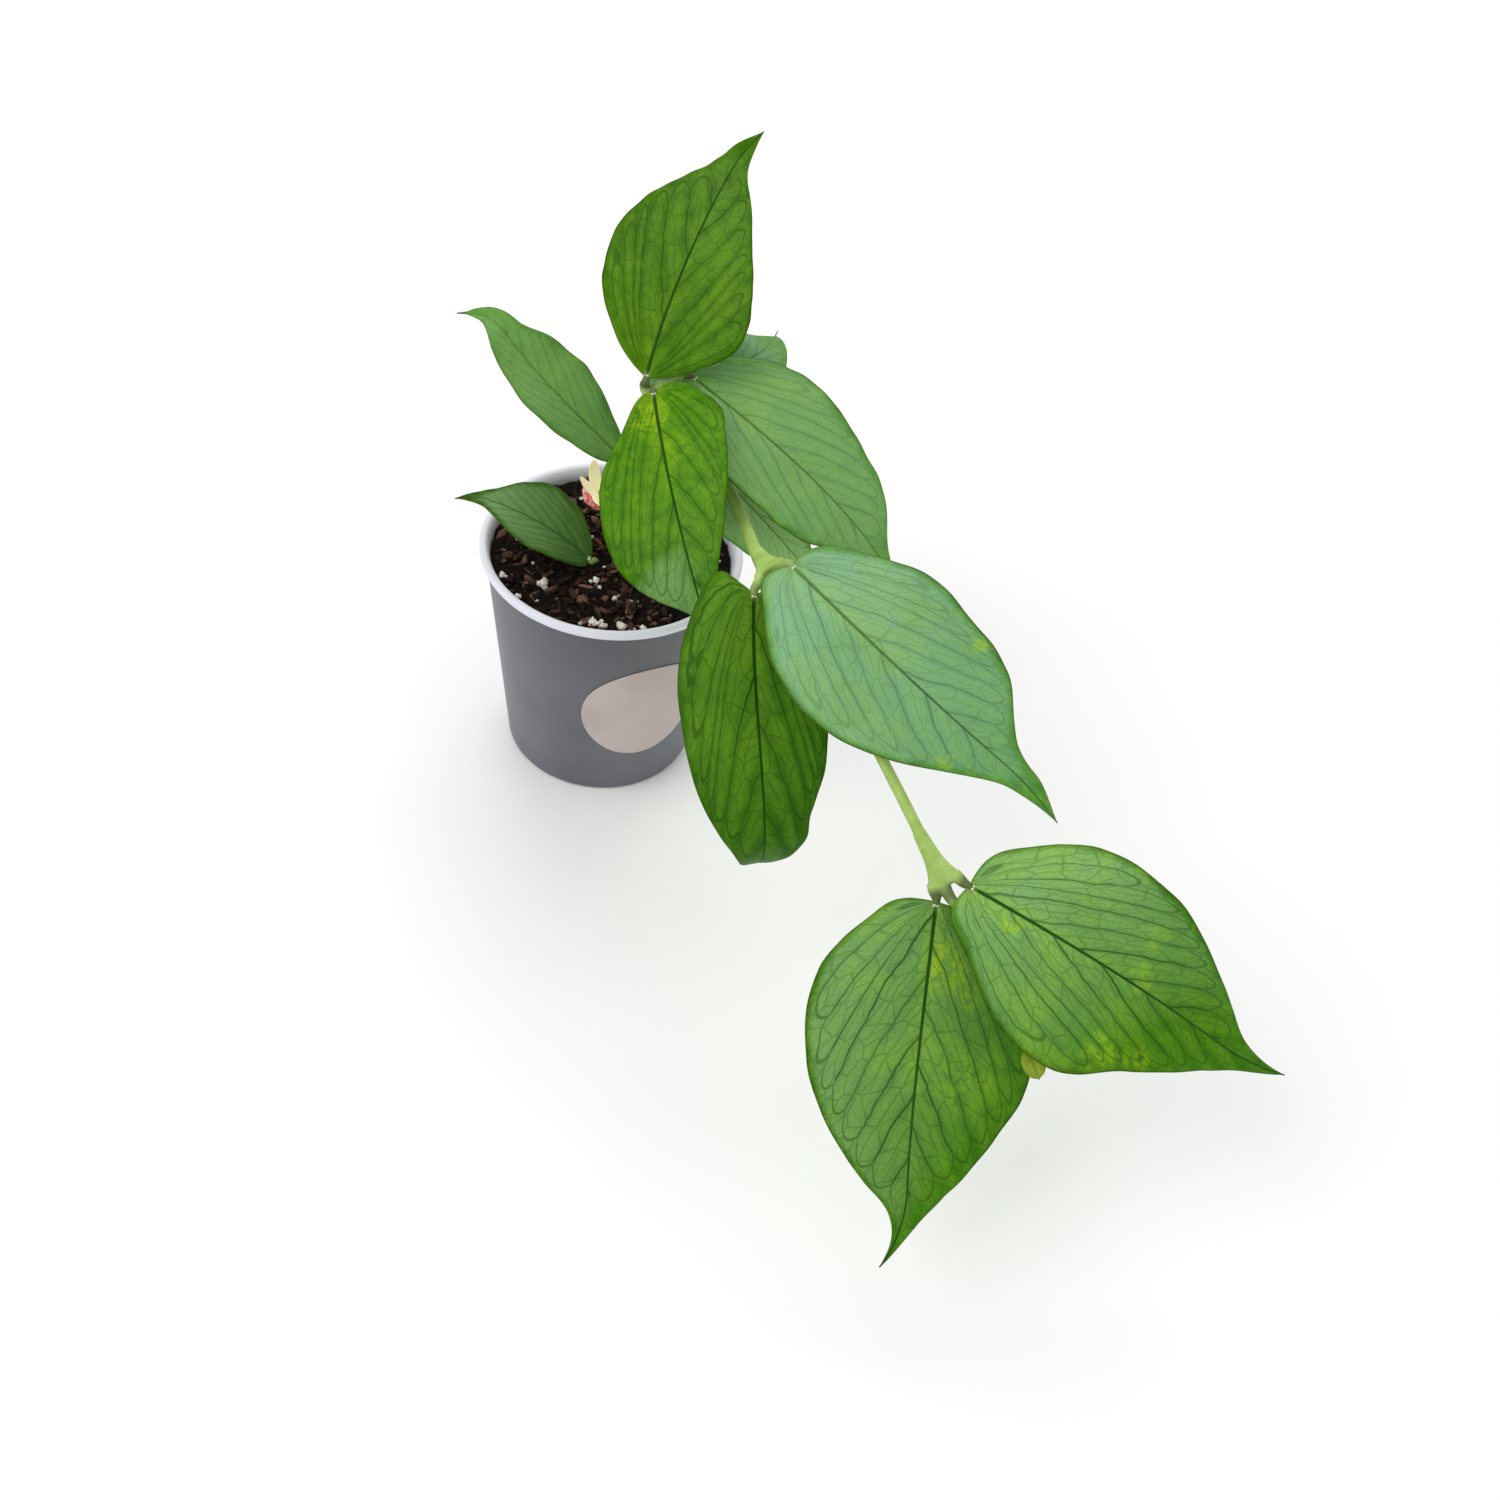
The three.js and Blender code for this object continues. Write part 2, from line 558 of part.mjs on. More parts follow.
function soilGeometry() {
  const bottom = POT.floor + POT.corner + SEAT;
  const heap = roundPlate(SOIL.rings, SOIL.turns, (share, angle, face) => {
    const level = face ? SOIL.topHeight : bottom;
    const radius = share * (wallInner(level) - SEAT);
    const [x, y] = [radius * Math.cos(angle), radius * Math.sin(angle)];
    return new THREE.Vector3(x, y, level + face * soilLump(x, y) * (1 - share ** SOIL.levelPower));
  });
  let soil = solidOf(heap);
  for (const line of [VINE_LINE, SIDE_STEM_LINE]) {
    const mouth = SOIL.topHeight + SOIL.holeAbove;
    const foot = SOIL.topHeight - SOIL.holeDepth;
    const radius = line[0][3] + SOIL.holeClearance;
    const hole = stalk(holeStops(line, foot, mouth, radius), new THREE.Vector3(1, 0, 0), 1, SOIL.holeSides);
    soil = soil.subtract(solidOf(hole));
  }
  return geometryOf(soil);
}

// The stops of the plain hole that a stem stands in, along the stem's own lower stretch.
function holeStops(line, foot, mouth, radius) {
  const [low, high] = [vec(line[0]), vec(line[1])];
  const at = (z) => low.clone().lerp(high, (z - low.z) / (high.z - low.z));
  return [foot, mouth].map((z) => [...at(z).toArray(), radius]);
}

const ACROSS = new THREE.Vector3(0.8, 0.5, 0.3);

// The stalk of one leaf, from places on its stem to just short of the blade, where it runs in line.
function leafStalk(starts, startHalf, leaf) {
  const rib = midrib(leaf, 0);
  const end = rib.place.clone().addScaledVector(rib.tangent, -LEAF_STALK.gap);
  const near = end.clone().addScaledVector(rib.tangent, -LEAF_STALK.straight);
  const half = Math.min(startHalf, LEAF_STALK.endHalf);
  const thick = Math.min(startHalf, LEAF_STALK.thickHalf);
  const stops = [
    ...starts.map((start) => [...start.toArray(), startHalf, thick]),
    [...near.toArray(), half, thick],
    [...end.toArray(), half, thick],
  ];
  return stalk(stops, rib.left, RINGS.leafStalk);
}

// A node: a flattened wedge that widens to its end, and from the two corners of that end the
// stalks of its leaves.
function forkedNode(node) {
  const pair = node.leaves.map((name) => LEAVES[name]);
  const across = vec(pair[1].base).sub(vec(pair[0].base)).normalize();
  const middle = vec(node.from).lerp(vec(node.at), FLARE.middle);
  const wedge = stalk(
    [
      [...node.from, FLARE.startHalf, FLARE.startHalf],
      [...middle.toArray(), FLARE.middleHalf, FLARE.thickHalf],
      [...node.at, FLARE.endHalf, FLARE.thickHalf],
    ],
    across,
    RINGS.wedge,
  );
  const toCorner = FLARE.endHalf - LEAF_STALK.startHalf;
  const stalks = pair.map((leaf, i) => {
    const corner = vec(node.at).addScaledVector(across, (2 * i - 1) * toCorner);
    const inside = corner.clone().add(vec(node.from).sub(corner).setLength(LEAF_STALK.inside));
    return leafStalk([inside, corner], LEAF_STALK.startHalf, leaf);
  });
  return [wedge, ...stalks];
}

function vineGeometry() {
  const shoot = stalk(SHOOT_LINE, ACROSS, RINGS.shoot);
  const shootTop = vec(SHOOT_LINE[SHOOT_LINE.length - 1]);
  const youngStalk = leafStalk([shootTop], SHOOT_STALK_HALF, LEAVES.leaf_young);
  const forks = Object.values(NODES).flatMap(forkedNode);
  return joined([stalk(VINE_LINE, ACROSS, RINGS.vine), shoot, ...forks, youngStalk, flowerStalk()]);
}

function sideStemGeometry() {
  const rib = midrib(LEAVES.leaf_low, 0);
  const end = rib.place.clone().addScaledVector(rib.tangent, -LOW_STALK.gap);
  return stalk([...SIDE_STEM_LINE, [...end.toArray(), LOW_STALK.radius]], ACROSS, RINGS.sideStem);
}

// The frame of the flower: its Z looks out of the face and its X along one of the five points.
function flowerFrame() {
  const face = vec(FLOWER.face).normalize();
  const lobe = squareTo(vec(FLOWER.lobe), face);
  return new THREE.Matrix4().makeBasis(lobe, face.clone().cross(lobe), face).setPosition(vec(FLOWER.centre));
}

function corollaGeometry() {
  const { points, slimness, tipRadius, notchRadius, bendBack, thickness, rings, turns } = COROLLA;
  const star = roundPlate(rings, turns, (share, angle, face) => {
    const point = Math.abs(Math.cos((points / 2) * angle)) ** slimness;
    const radius = share * (notchRadius + (tipRadius - notchRadius) * point);
    const z = (face - 0.5) * thickness - bendBack * (radius / tipRadius) ** 2;
    return new THREE.Vector3(radius * Math.cos(angle), radius * Math.sin(angle), z);
  });
  return star.applyMatrix4(flowerFrame());
}

function coronaGeometry() {
  const seat = COROLLA.thickness / 2 + SEAT;
  const core = new THREE.SphereGeometry(CORONA.core, BALL_SIDES, BALL_RINGS);
  const lumps = [core.translate(0, 0, seat + CORONA.core)];
  for (let i = 0; i < CORONA.lumps; i += 1) {
    const lump = new THREE.SphereGeometry(1, BALL_SIDES, BALL_RINGS).rotateX(Math.PI / 2);
    lump.scale(CORONA.length, CORONA.width, CORONA.height);
    lump.rotateY(CORONA.dip);
    lump.translate(CORONA.reach, 0, CORONA.lift);
    lump.rotateZ((2 * Math.PI * (i + 0.5)) / CORONA.lumps);
    lumps.push(lump);
  }
  return joined(lumps).applyMatrix4(flowerFrame());
}

// The flower's stalk, from inside the vine's first node to just short of the corolla's back.
function flowerStalk() {
  const onAxis = (away) => new THREE.Vector3(0, 0, -away).applyMatrix4(flowerFrame()).toArray();
  const back = COROLLA.thickness / 2 + SEAT;
  const line = [NODES.first.at, FLOWER.stalkBend, onAxis(back + FLOWER.stalkRun), onAxis(back)];
  const stops = line.map((stop) => [...stop, FLOWER.stalkRadius]);
  return stalk(stops, ACROSS, RINGS.flowerStalk, FLOWER.stalkSides);
}

const plant = new THREE.Group();
const finishes = Object.fromEntries(
  Object.entries(COLOURS).map(([name, look]) => [name, { ...look, metalness: 0, flatShading: true }]),
);

function add(name, geometry, finish) {
  const mesh = new THREE.Mesh(geometry, new THREE.MeshStandardMaterial(finishes[finish]));
  mesh.name = name;
  plant.add(mesh);
}

add('pot', potGeometry(), 'pot');
add('label', labelGeometry(), 'label');
add('soil', soilGeometry(), 'soil');
add('vine_stem', vineGeometry(), 'stem');
add('side_stem', sideStemGeometry(), 'stem');
Object.entries(LEAVES).forEach(([name, leaf], i) => {
  add(name, bladeGeometry(leaf, NEXT_LEAF_PHASE * i), name === 'leaf_young' ? 'young' : 'leaf');
});
add('petals', corollaGeometry(), 'petal');
add('corona', coronaGeometry(), 'corona');

export default plant;
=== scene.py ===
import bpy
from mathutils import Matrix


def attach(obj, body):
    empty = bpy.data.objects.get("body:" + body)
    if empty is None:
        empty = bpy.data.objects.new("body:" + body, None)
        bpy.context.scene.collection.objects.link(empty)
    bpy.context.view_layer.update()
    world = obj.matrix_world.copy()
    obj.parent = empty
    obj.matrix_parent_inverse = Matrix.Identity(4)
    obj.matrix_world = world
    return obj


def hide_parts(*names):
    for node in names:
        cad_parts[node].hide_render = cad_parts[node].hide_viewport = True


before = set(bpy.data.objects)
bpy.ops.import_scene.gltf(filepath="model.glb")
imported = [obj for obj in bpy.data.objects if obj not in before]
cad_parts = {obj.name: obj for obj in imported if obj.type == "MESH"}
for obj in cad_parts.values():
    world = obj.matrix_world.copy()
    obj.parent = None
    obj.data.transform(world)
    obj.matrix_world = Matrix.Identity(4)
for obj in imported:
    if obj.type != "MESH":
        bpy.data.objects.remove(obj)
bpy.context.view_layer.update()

from types import SimpleNamespace

import bmesh
import bpy
import numpy as np
from mathutils import Matrix

# Pot: a thin cup of moulded grey plastic that widens to a paler, rolled lip. The wall is turned
# round one profile, and six drain holes are cut in the floor round a solid middle.

MM = 0.001
POT_TURNS = 160
FOOT_RADIUS = 34
WALL_TOP = 85.2
WALL_TOP_RADIUS = 42.8
WALL_THICK = 1.4
FLOOR_TOP = 2.2
FLOOR_UNDER = 0.9
DRAIN_HOLES = 6
DRAIN_SIDES = 32
DRAIN_CIRCLE = 22
DRAIN_RADIUS = 3


def into_scene(name, data):
    """A new object that holds a mesh, a lamp or a camera, linked to the scene."""
    made = bpy.data.objects.new(name, data)
    bpy.context.scene.collection.objects.link(made)
    return made


def place_in_scene(name, mesh, material, replaced=()):
    """A finished piece: the mesh at the origin with smooth faces, riding on the plant's body."""
    mesh.polygons.foreach_set("use_smooth", np.ones(len(mesh.polygons), bool))
    mesh.materials.append(material)
    piece = into_scene(name, mesh)
    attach(piece, "root")
    if replaced:
        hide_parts(*replaced)
    return piece


def tube_faces(rings, around, first=0):
    """Faces of a skin on rings of points: each face joins a point, the next in its ring, and the
    same two in the next ring. A cap is one face on the whole first or last ring."""
    ring, turn = np.meshgrid(np.arange(rings - 1), np.arange(around), indexing="ij")
    after = (turn + 1) % around
    quads = np.stack([ring * around + turn, ring * around + after,
                      (ring + 1) * around + after, (ring + 1) * around + turn], -1)
    faces = (quads.reshape(-1, 4) + first).tolist()
    last = first + (rings - 1) * around
    faces.append(list(range(first + around - 1, first - 1, -1)))
    faces.append(list(range(last, last + around)))
    return faces


def mesh_of(name, points, faces):
    """A mesh from points in millimetres, with its faces turned outwards."""
    mesh = bpy.data.meshes.new(name)
    mesh.from_pydata((np.asarray(points) * MM).tolist(), [], faces)
    shape = bmesh.new()
    shape.from_mesh(mesh)
    bmesh.ops.recalc_face_normals(shape, faces=shape.faces)
    shape.to_mesh(mesh)
    shape.free()
    return mesh


def turned(profile, turns):
    """Points of a profile turned about Z: (r cos a, r sin a, z) for each profile point and angle."""
    profile = np.asarray(profile, float)
    angle = np.linspace(0, 2 * np.pi, turns, endpoint=False)
    radius, height = profile[:, :1], profile[:, 1:]
    rings = np.stack([radius * np.cos(angle), radius * np.sin(angle), height + 0 * angle], -1)
    return rings.reshape(-1, 3)


def finished(piece):
    """The piece with its modifiers applied to a new mesh."""
    graph = bpy.context.evaluated_depsgraph_get()
    mesh = bpy.data.meshes.new_from_object(piece.evaluated_get(graph))
    piece.modifiers.clear()
    piece.data = mesh
    return piece


def rounded(corner_a, corner_b, bulge, steps=5):
    """Points from one corner to another along an arc that swells sideways by a share of the chord:
    chord point plus bulge times chord length times sin(pi t), to the chord's right."""
    start, end = np.array(corner_a, float), np.array(corner_b, float)
    t = np.linspace(0, 1, steps)[:, None]
    chord = end - start
    side = np.array([chord[1], -chord[0]])
    return (start + chord * t + side * bulge * np.sin(np.pi * t)).tolist()


class Value:
    """A number or colour on its way through a material. Python's operators on it add Math nodes."""

    def __init__(self, socket):
        self.socket = socket

    def math(self, operation, *others, swap=False):
        """A Math node on this value and others, in that order or turned round."""
        inputs = [self, *others]
        return add_node(self.socket.id_data, "ShaderNodeMath", inputs[::-1] if swap else inputs,
                        operation=operation)

    def __add__(self, other):
        return self.math("ADD", other)

    def __radd__(self, other):
        return self.math("ADD", other)

    def __sub__(self, other):
        return self.math("SUBTRACT", other)

    def __rsub__(self, other):
        return self.math("SUBTRACT", other, swap=True)

    def __mul__(self, other):
        return self.math("MULTIPLY", other)

    def __rmul__(self, other):
        return self.math("MULTIPLY", other)

    def __truediv__(self, other):
        return self.math("DIVIDE", other)

    def __pow__(self, other):
        return self.math("POWER", other)

    def __mod__(self, other):
        return self.math("FLOORED_MODULO", other)

    def __abs__(self):
        return self.math("ABSOLUTE")


def add_node(tree, kind, inputs=(), out=0, **settings):
    """One node: its settings are set first, then its sockets by place or by name. Gives the
    output asked for as a Value."""
    node = tree.nodes.new(kind)
    for key, value in settings.items():
        if key == "stops":
            ramp = node.color_ramp
            for place, colour in value[1:-1]:
                ramp.elements.new(place).color = (*colour, 1)
            ends = zip((ramp.elements[0], ramp.elements[-1]), (value[0], value[-1]))
            for element, (place, colour) in ends:
                element.position, element.color = place, (*colour, 1)
        else:
            setattr(node, key, value)
    pairs = inputs.items() if isinstance(inputs, dict) else enumerate(inputs)
    for key, value in pairs:
        if isinstance(value, Value):
            tree.links.new(value.socket, node.inputs[key])
        elif isinstance(value, tuple) and len(value) == 3 and node.inputs[key].type == "RGBA":
            node.inputs[key].default_value = (*value, 1)
        else:
            node.inputs[key].default_value = value
    return Value(node.outputs[out])


class Finish:
    """A material with one Principled shader, and the few kinds of node that the finishes use."""

    def __init__(self, name, **constants):
        self.material = bpy.data.materials.new(name)
        self.material.use_nodes = True
        self.tree = self.material.node_tree
        self.shader = self.tree.nodes["Principled BSDF"]
        for socket, value in constants.items():
            self.shader.inputs[socket.replace("_", " ")].default_value = value
        self.object = self.node("ShaderNodeTexCoord", out="Object")

    def node(self, kind, inputs=(), out=0, **settings):
        """A node of this material, as add_node makes it."""
        return add_node(self.tree, kind, inputs, out, **settings)

    def noise(self, scale, detail=3, rough=0.5):
        """Smooth noise from 0 to 1, scale patches to the metre."""
        sockets = {"Vector": self.object, "Scale": scale, "Detail": detail, "Roughness": rough}
        return self.node("ShaderNodeTexNoise", sockets, out="Fac")

    def step(self, value, low, high):
        """0 below low and 1 above high, with a smooth rise between, or a fall if low is larger."""
        return self.node("ShaderNodeMapRange", {"Value": value, "From Min": low, "From Max": high},
                         interpolation_type="SMOOTHSTEP")

    def mix(self, share, first, second):
        """Two colours mixed by a share from 0 to 1."""
        return self.node("ShaderNodeMix", {0: share, 6: first, 7: second}, out=2, data_type="RGBA")

    def noted(self, key):
        """The number that the mesh keeps on its points under a key."""
        return self.node("ShaderNodeAttribute", out="Fac", attribute_name=key)

    def parts(self, vector):
        """The X, Y and Z of a vector."""
        split = self.node("ShaderNodeSeparateXYZ", [vector]).socket.node
        return [Value(socket) for socket in split.outputs]

    def to_cell_edge(self, x, y):
        """How far a place is from the edge between random cells, one to each unit square."""
        sockets = {"Vector": self.node("ShaderNodeCombineXYZ", [x, y]), "Scale": 1.0, "Randomness": 1.0}
        return self.node("ShaderNodeTexVoronoi", sockets, out="Distance",
                         voronoi_dimensions="2D", feature="DISTANCE_TO_EDGE")

    def feed(self, colour=None, roughness=None, height=None, depth=0.2 * MM, strength=1.0):
        """Colour, roughness and height, in units of depth, into the shader."""
        if colour:
            self.tree.links.new(colour.socket, self.shader.inputs["Base Color"])
        if roughness:
            self.tree.links.new(roughness.socket, self.shader.inputs["Roughness"])
        if height:
            sockets = {"Height": height, "Distance": depth, "Strength": strength}
            bump = self.node("ShaderNodeBump", sockets)
            self.tree.links.new(bump.socket, self.shader.inputs["Normal"])
        return self.material


def srgb(code):
    """A colour code such as 0x8a8c94 as the linear red, green and blue that shaders take."""
    channels = np.array([code >> 16 & 255, code >> 8 & 255, code & 255]) / 255
    linear = np.where(channels <= 0.04045, channels / 12.92, ((channels + 0.055) / 1.055) ** 2.4)
    return tuple(float(c) for c in linear)


def pot_wall(height):
    """The wall's outer radius: it grows evenly with height, from the foot's to the top's."""
    return FOOT_RADIUS + (WALL_TOP_RADIUS - FOOT_RADIUS) * height / WALL_TOP


# The profile, as radius and height: out under the floor, up the wall, over the lip and back down
# inside to the middle of the floor.
pot_profile = (
    [[0.01, FLOOR_UNDER], [16, FLOOR_UNDER], [29.4, FLOOR_UNDER], [30.2, 0.0], [32.4, 0.0]]
    + rounded((32.6, 0.0), (pot_wall(1.8), 1.8), 0.2)
    + [[pot_wall(z), z] for z in np.linspace(4, 84.4, 18)]
    + rounded((pot_wall(85.0), 85.0), (44.4, WALL_TOP), -0.15, 4)
    + rounded((44.6, 85.3), (44.6, 87.9), 0.16, 7)
    + rounded((44.4, 88.0), (42.4, 87.6), 0.12, 5)
    + [[41.7, 86.2], [41.5, 84.8]]
    + [[pot_wall(z) - WALL_THICK, z] for z in np.linspace(82, 6, 12)]
    + rounded((pot_wall(3.6) - WALL_THICK, 3.6), (31.2, FLOOR_TOP), -0.2)
    + [[16, FLOOR_TOP], [0.01, FLOOR_TOP]]
)
rings = turned(pot_profile, POT_TURNS)
pot_mesh = mesh_of("pot_body", rings, tube_faces(len(pot_profile), POT_TURNS))

drill_points, drill_faces = [], []
for hole in range(DRAIN_HOLES):
    bearing = 2 * np.pi * hole / DRAIN_HOLES
    centre = DRAIN_CIRCLE * np.array([np.cos(bearing), np.sin(bearing), 0])
    drill_faces += tube_faces(2, DRAIN_SIDES, DRAIN_SIDES * 2 * hole)
    drill_points.append(turned([[DRAIN_RADIUS, -2], [DRAIN_RADIUS, 5]], DRAIN_SIDES) + centre)
drill = into_scene("drill", mesh_of("drill", np.concatenate(drill_points), drill_faces))

plastic = Finish("pot_plastic", IOR=1.48)
x, y, z = plastic.parts(plastic.object)
height = z / MM
clouding = plastic.noise(34, 3)
speckle = plastic.noise(1400, 2)
lip = plastic.step(height, 84.3, 85.6)
wall_colour = plastic.mix(plastic.step(clouding, 0.3, 0.7), srgb(0x5B5C63), srgb(0x66676F))
wall_colour = plastic.mix(plastic.step(height, 20, 84) * 0.6, wall_colour, srgb(0x515157))
radius = (x * x + y * y) ** 0.5 / MM
inside = plastic.step(radius - pot_wall(height), -0.5, -0.9) * plastic.step(height, 4, 8)
wall_colour = plastic.mix(inside, wall_colour, srgb(0xC9C8D0))
pot_colour = plastic.mix(lip, wall_colour, srgb(0xDCDCE6))
plastic.feed(pot_colour, 0.34 + 0.12 * clouding + 0.05 * speckle, speckle, 0.03 * MM)
pot = place_in_scene("pot_body", pot_mesh, plastic.material, ["pot"])
cut = pot.modifiers.new("drain_holes", "BOOLEAN")
cut.object, cut.operation, cut.solver = drill, "DIFFERENCE", "EXACT"
finished(pot)
bpy.data.objects.remove(drill)

# Label: a round paper sticker stuck flat to the front of the wall. It is left blank, with a
# slightly glossy face and a fine rim where the paper was cut.

LABEL_RADIUS = 23
LABEL_HEIGHT = 44
LABEL_BEARING = np.radians(24.5)
LABEL_TURNS = 96
label_share = np.concatenate([np.linspace(0.002, 0.985, 22), [1.0, 1.0, 0.99, 0.002]])
label_lift = np.concatenate([np.full(22, 0.42), [0.36, 0.16, 0.05, 0.05]])


def on_pot(across, up, lift):
    """The point a way across and up from the label's centre, wrapped round the cone: the bearing
    grows by across over the wall's radius there, and lift is the distance off the wall."""
    z = LABEL_HEIGHT + up
    bearing = LABEL_BEARING + across / pot_wall(LABEL_HEIGHT)
    radius = pot_wall(z) + lift
    return np.stack([radius * np.sin(bearing), -radius * np.cos(bearing), z], -1)


turn = np.linspace(0, 2 * np.pi, LABEL_TURNS, endpoint=False)
reach = LABEL_RADIUS * label_share[:, None]
label_points = on_pot(reach * np.cos(turn), reach * np.sin(turn), label_lift[:, None] + 0 * turn)
label_faces = tube_faces(len(label_share), LABEL_TURNS)
label_mesh = mesh_of("label_disc", label_points.reshape(-1, 3), label_faces)

paper = Finish("label_paper", IOR=1.45)
fibre = paper.noise(900, 4, 0.7)
shade = paper.noise(28, 2)
paper_colour = paper.mix(paper.step(shade, 0.35, 0.65), srgb(0xB5A7A4), srgb(0xC2B4B0))
paper.feed(paper_colour, 0.42 + 0.12 * fibre, fibre, 0.02 * MM)
place_in_scene("label_disc", label_mesh, paper.material, ["label"])

# Soil: dark potting mix that fills the pot to a little below the rim. Its top is crumbly, with
# strips and flakes of bark pressed into it and grains of white perlite between them.

SOIL_TOP = 84
SOIL_RADIUS = 41
SOIL_TURNS = 320
STEM_FOOT = np.array([6, 9])
SIDE_FOOT = np.array([-4.3, -4.2])


def wander(x, y, seed, waves=7, size=6.0):
    """Smooth noise about 0: the mean of sine waves with random ways and starts, size mm long."""
    draw = np.random.default_rng(seed)
    total = np.zeros(np.broadcast(x, y).shape)
    for _ in range(waves):
        way, start = draw.uniform(0, 2 * np.pi, 2)
        pitch = 2 * np.pi / (size * draw.uniform(0.6, 1.5))
        total = total + np.sin(pitch * (x * np.cos(way) + y * np.sin(way)) + start)
    return total / np.sqrt(waves)


def soil_level(x, y):
    """The height of the soil's top: broad heaps, crumbs and grit, each a wander of its own size,
    less a drop near the wall by the eighth power of the share of the way out."""
    edge = np.clip(np.hypot(x, y) / SOIL_RADIUS, 0, 1)
    crumbs = np.abs(wander(x, y, 2, 9, 5.5)) * 0.9 + np.abs(wander(x, y, 3, 9, 2.6)) * 0.45
    level = SOIL_TOP - 0.6 + 0.5 * wander(x, y, 1, 6, 26) + crumbs + 0.15 * wander(x, y, 4, 9, 1.1)
    return level - 0.9 * edge ** 8


soil_radii = np.concatenate([[0.02], np.linspace(0.5, SOIL_RADIUS - 0.1, 110)])
spin = np.linspace(0, 2 * np.pi, SOIL_TURNS, endpoint=False)
top_x = soil_radii[:, None] * np.cos(spin)
top_y = soil_radii[:, None] * np.sin(spin)
soil_rings = np.stack([top_x, top_y, soil_level(top_x, top_y)], -1)
side_radii = [[40.8, 74], [36.0, 30], [32.6, 4.6], [32.0, 4.1], [16, 4.0], [0.02, 4.0]]
soil_points = np.concatenate([soil_rings.reshape(-1, 3), turned(side_radii, SOIL_TURNS)])
ring_count = len(soil_radii) + len(side_radii)
soil_mesh = mesh_of("soil_body", soil_points, tube_faces(ring_count, SOIL_TURNS))

potting = Finish("potting_mix", Specular_IOR_Level=0.12)
grit = potting.noise(700, 6, 0.75)
clods = potting.noise(160, 3)
soil_colour = potting.mix(potting.step(grit, 0.3, 0.75), srgb(0x080504), srgb(0x241A14))
soil_colour = potting.mix(potting.step(clods, 0.5, 0.75) * 0.4, soil_colour, srgb(0x2A1A13))
potting.feed(soil_colour, 0.8 + 0.15 * grit, grit, 0.9 * MM)
place_in_scene("soil_body", soil_mesh, potting.material, ["soil"])


def scattered(count, least_gap_from_stems, draw, limit=39.5):
    """Random places on the soil's top, as x and y, clear of the stems."""
    radius = limit * np.sqrt(draw.uniform(0, 1, 3 * count))
    angle = draw.uniform(0, 2 * np.pi, 3 * count)
    spots = np.stack([radius * np.cos(angle), radius * np.sin(angle)], -1)
    clear = np.ones(len(spots), bool)
    for foot in (STEM_FOOT, SIDE_FOOT):
        clear &= np.linalg.norm(spots - foot, axis=1) > least_gap_from_stems
    return spots[clear][:count]


def lump_points(sides, rings_count):
    """Points of a unit ball, as rings from pole to pole: (sin b cos a, sin b sin a, cos b)."""
    b = np.linspace(0.12, np.pi - 0.12, rings_count)[:, None]
    a = np.linspace(0, 2 * np.pi, sides, endpoint=False)
    ball = np.stack([np.sin(b) * np.cos(a), np.sin(b) * np.sin(a), np.cos(b) + 0 * a], -1)
    return ball.reshape(-1, 3)


def note_on_points(mesh, key, values):
    """Keeps a number on each of the mesh's points, for its material to read by a key."""
    mesh.attributes.new(key, "FLOAT", "POINT").data.foreach_set("value", values)


def crumbs_mesh(name, spots, sizes, draw, sides, rings_count, roughness, sink, lean):
    """One mesh of many lumps: a unit ball is pushed in and out at random, scaled to each lump's
    three half sizes, leant and turned at random, and set on the soil sunk by a share of its
    height. Each point keeps its lump's random tint."""
    ball = lump_points(sides, rings_count)
    points, faces, tints = [], [], []
    for spot, half in zip(spots, sizes):
        lump = ball * (1 + draw.uniform(-roughness, roughness, (len(ball), 1))) * half
        pitch, roll, yaw = draw.normal(0, lean), draw.normal(0, lean), draw.uniform(0, 2 * np.pi)
        leant = Matrix.Rotation(pitch, 3, "X") @ Matrix.Rotation(roll, 3, "Y")
        lump = lump @ np.array(Matrix.Rotation(yaw, 3, "Z") @ leant).T
        ground = soil_level(spot[0], spot[1])
        faces += tube_faces(rings_count, sides, len(points) * len(ball))
        points.append(lump + [spot[0], spot[1], ground + half[2] * (1 - 2 * sink)])
        tints.append(np.full(len(ball), draw.uniform()))
    mesh = mesh_of(name, np.concatenate(points), faces)
    note_on_points(mesh, "tint", np.concatenate(tints))
    return mesh


draw = np.random.default_rng(11)
BARK_COUNT = 760
bark_spots = scattered(BARK_COUNT, 3.0, draw, 40)
bark_size = 0.75 + 1.15 * draw.uniform(0, 1, BARK_COUNT) ** 3
bark_halves = bark_size[:, None] * draw.uniform((0.9, 0.38, 0.2), (2.6, 1.05, 0.55), (BARK_COUNT, 3))
bark_mesh = crumbs_mesh("bark_flakes", bark_spots, bark_halves, draw, 7, 5, 0.34, 0.15, 0.35)

bark = Finish("bark", Specular_IOR_Level=0.15)
bark_grain = bark.noise(1100, 5, 0.7)
browns = [(0.0, srgb(0x0E0907)), (0.45, srgb(0x2A1A12)), (0.75, srgb(0x4E3426)),
          (0.92, srgb(0x745445)), (1.0, srgb(0x9C7C6A))]
bark_shade = bark.noted("tint") * 0.85 + 0.2 * bark_grain
bark_colour = bark.node("ShaderNodeValToRGB", [bark_shade], stops=browns)
bark.feed(bark_colour, 0.7 + 0.2 * bark_grain, bark_grain, 0.3 * MM)
place_in_scene("bark_flakes", bark_mesh, bark.material)

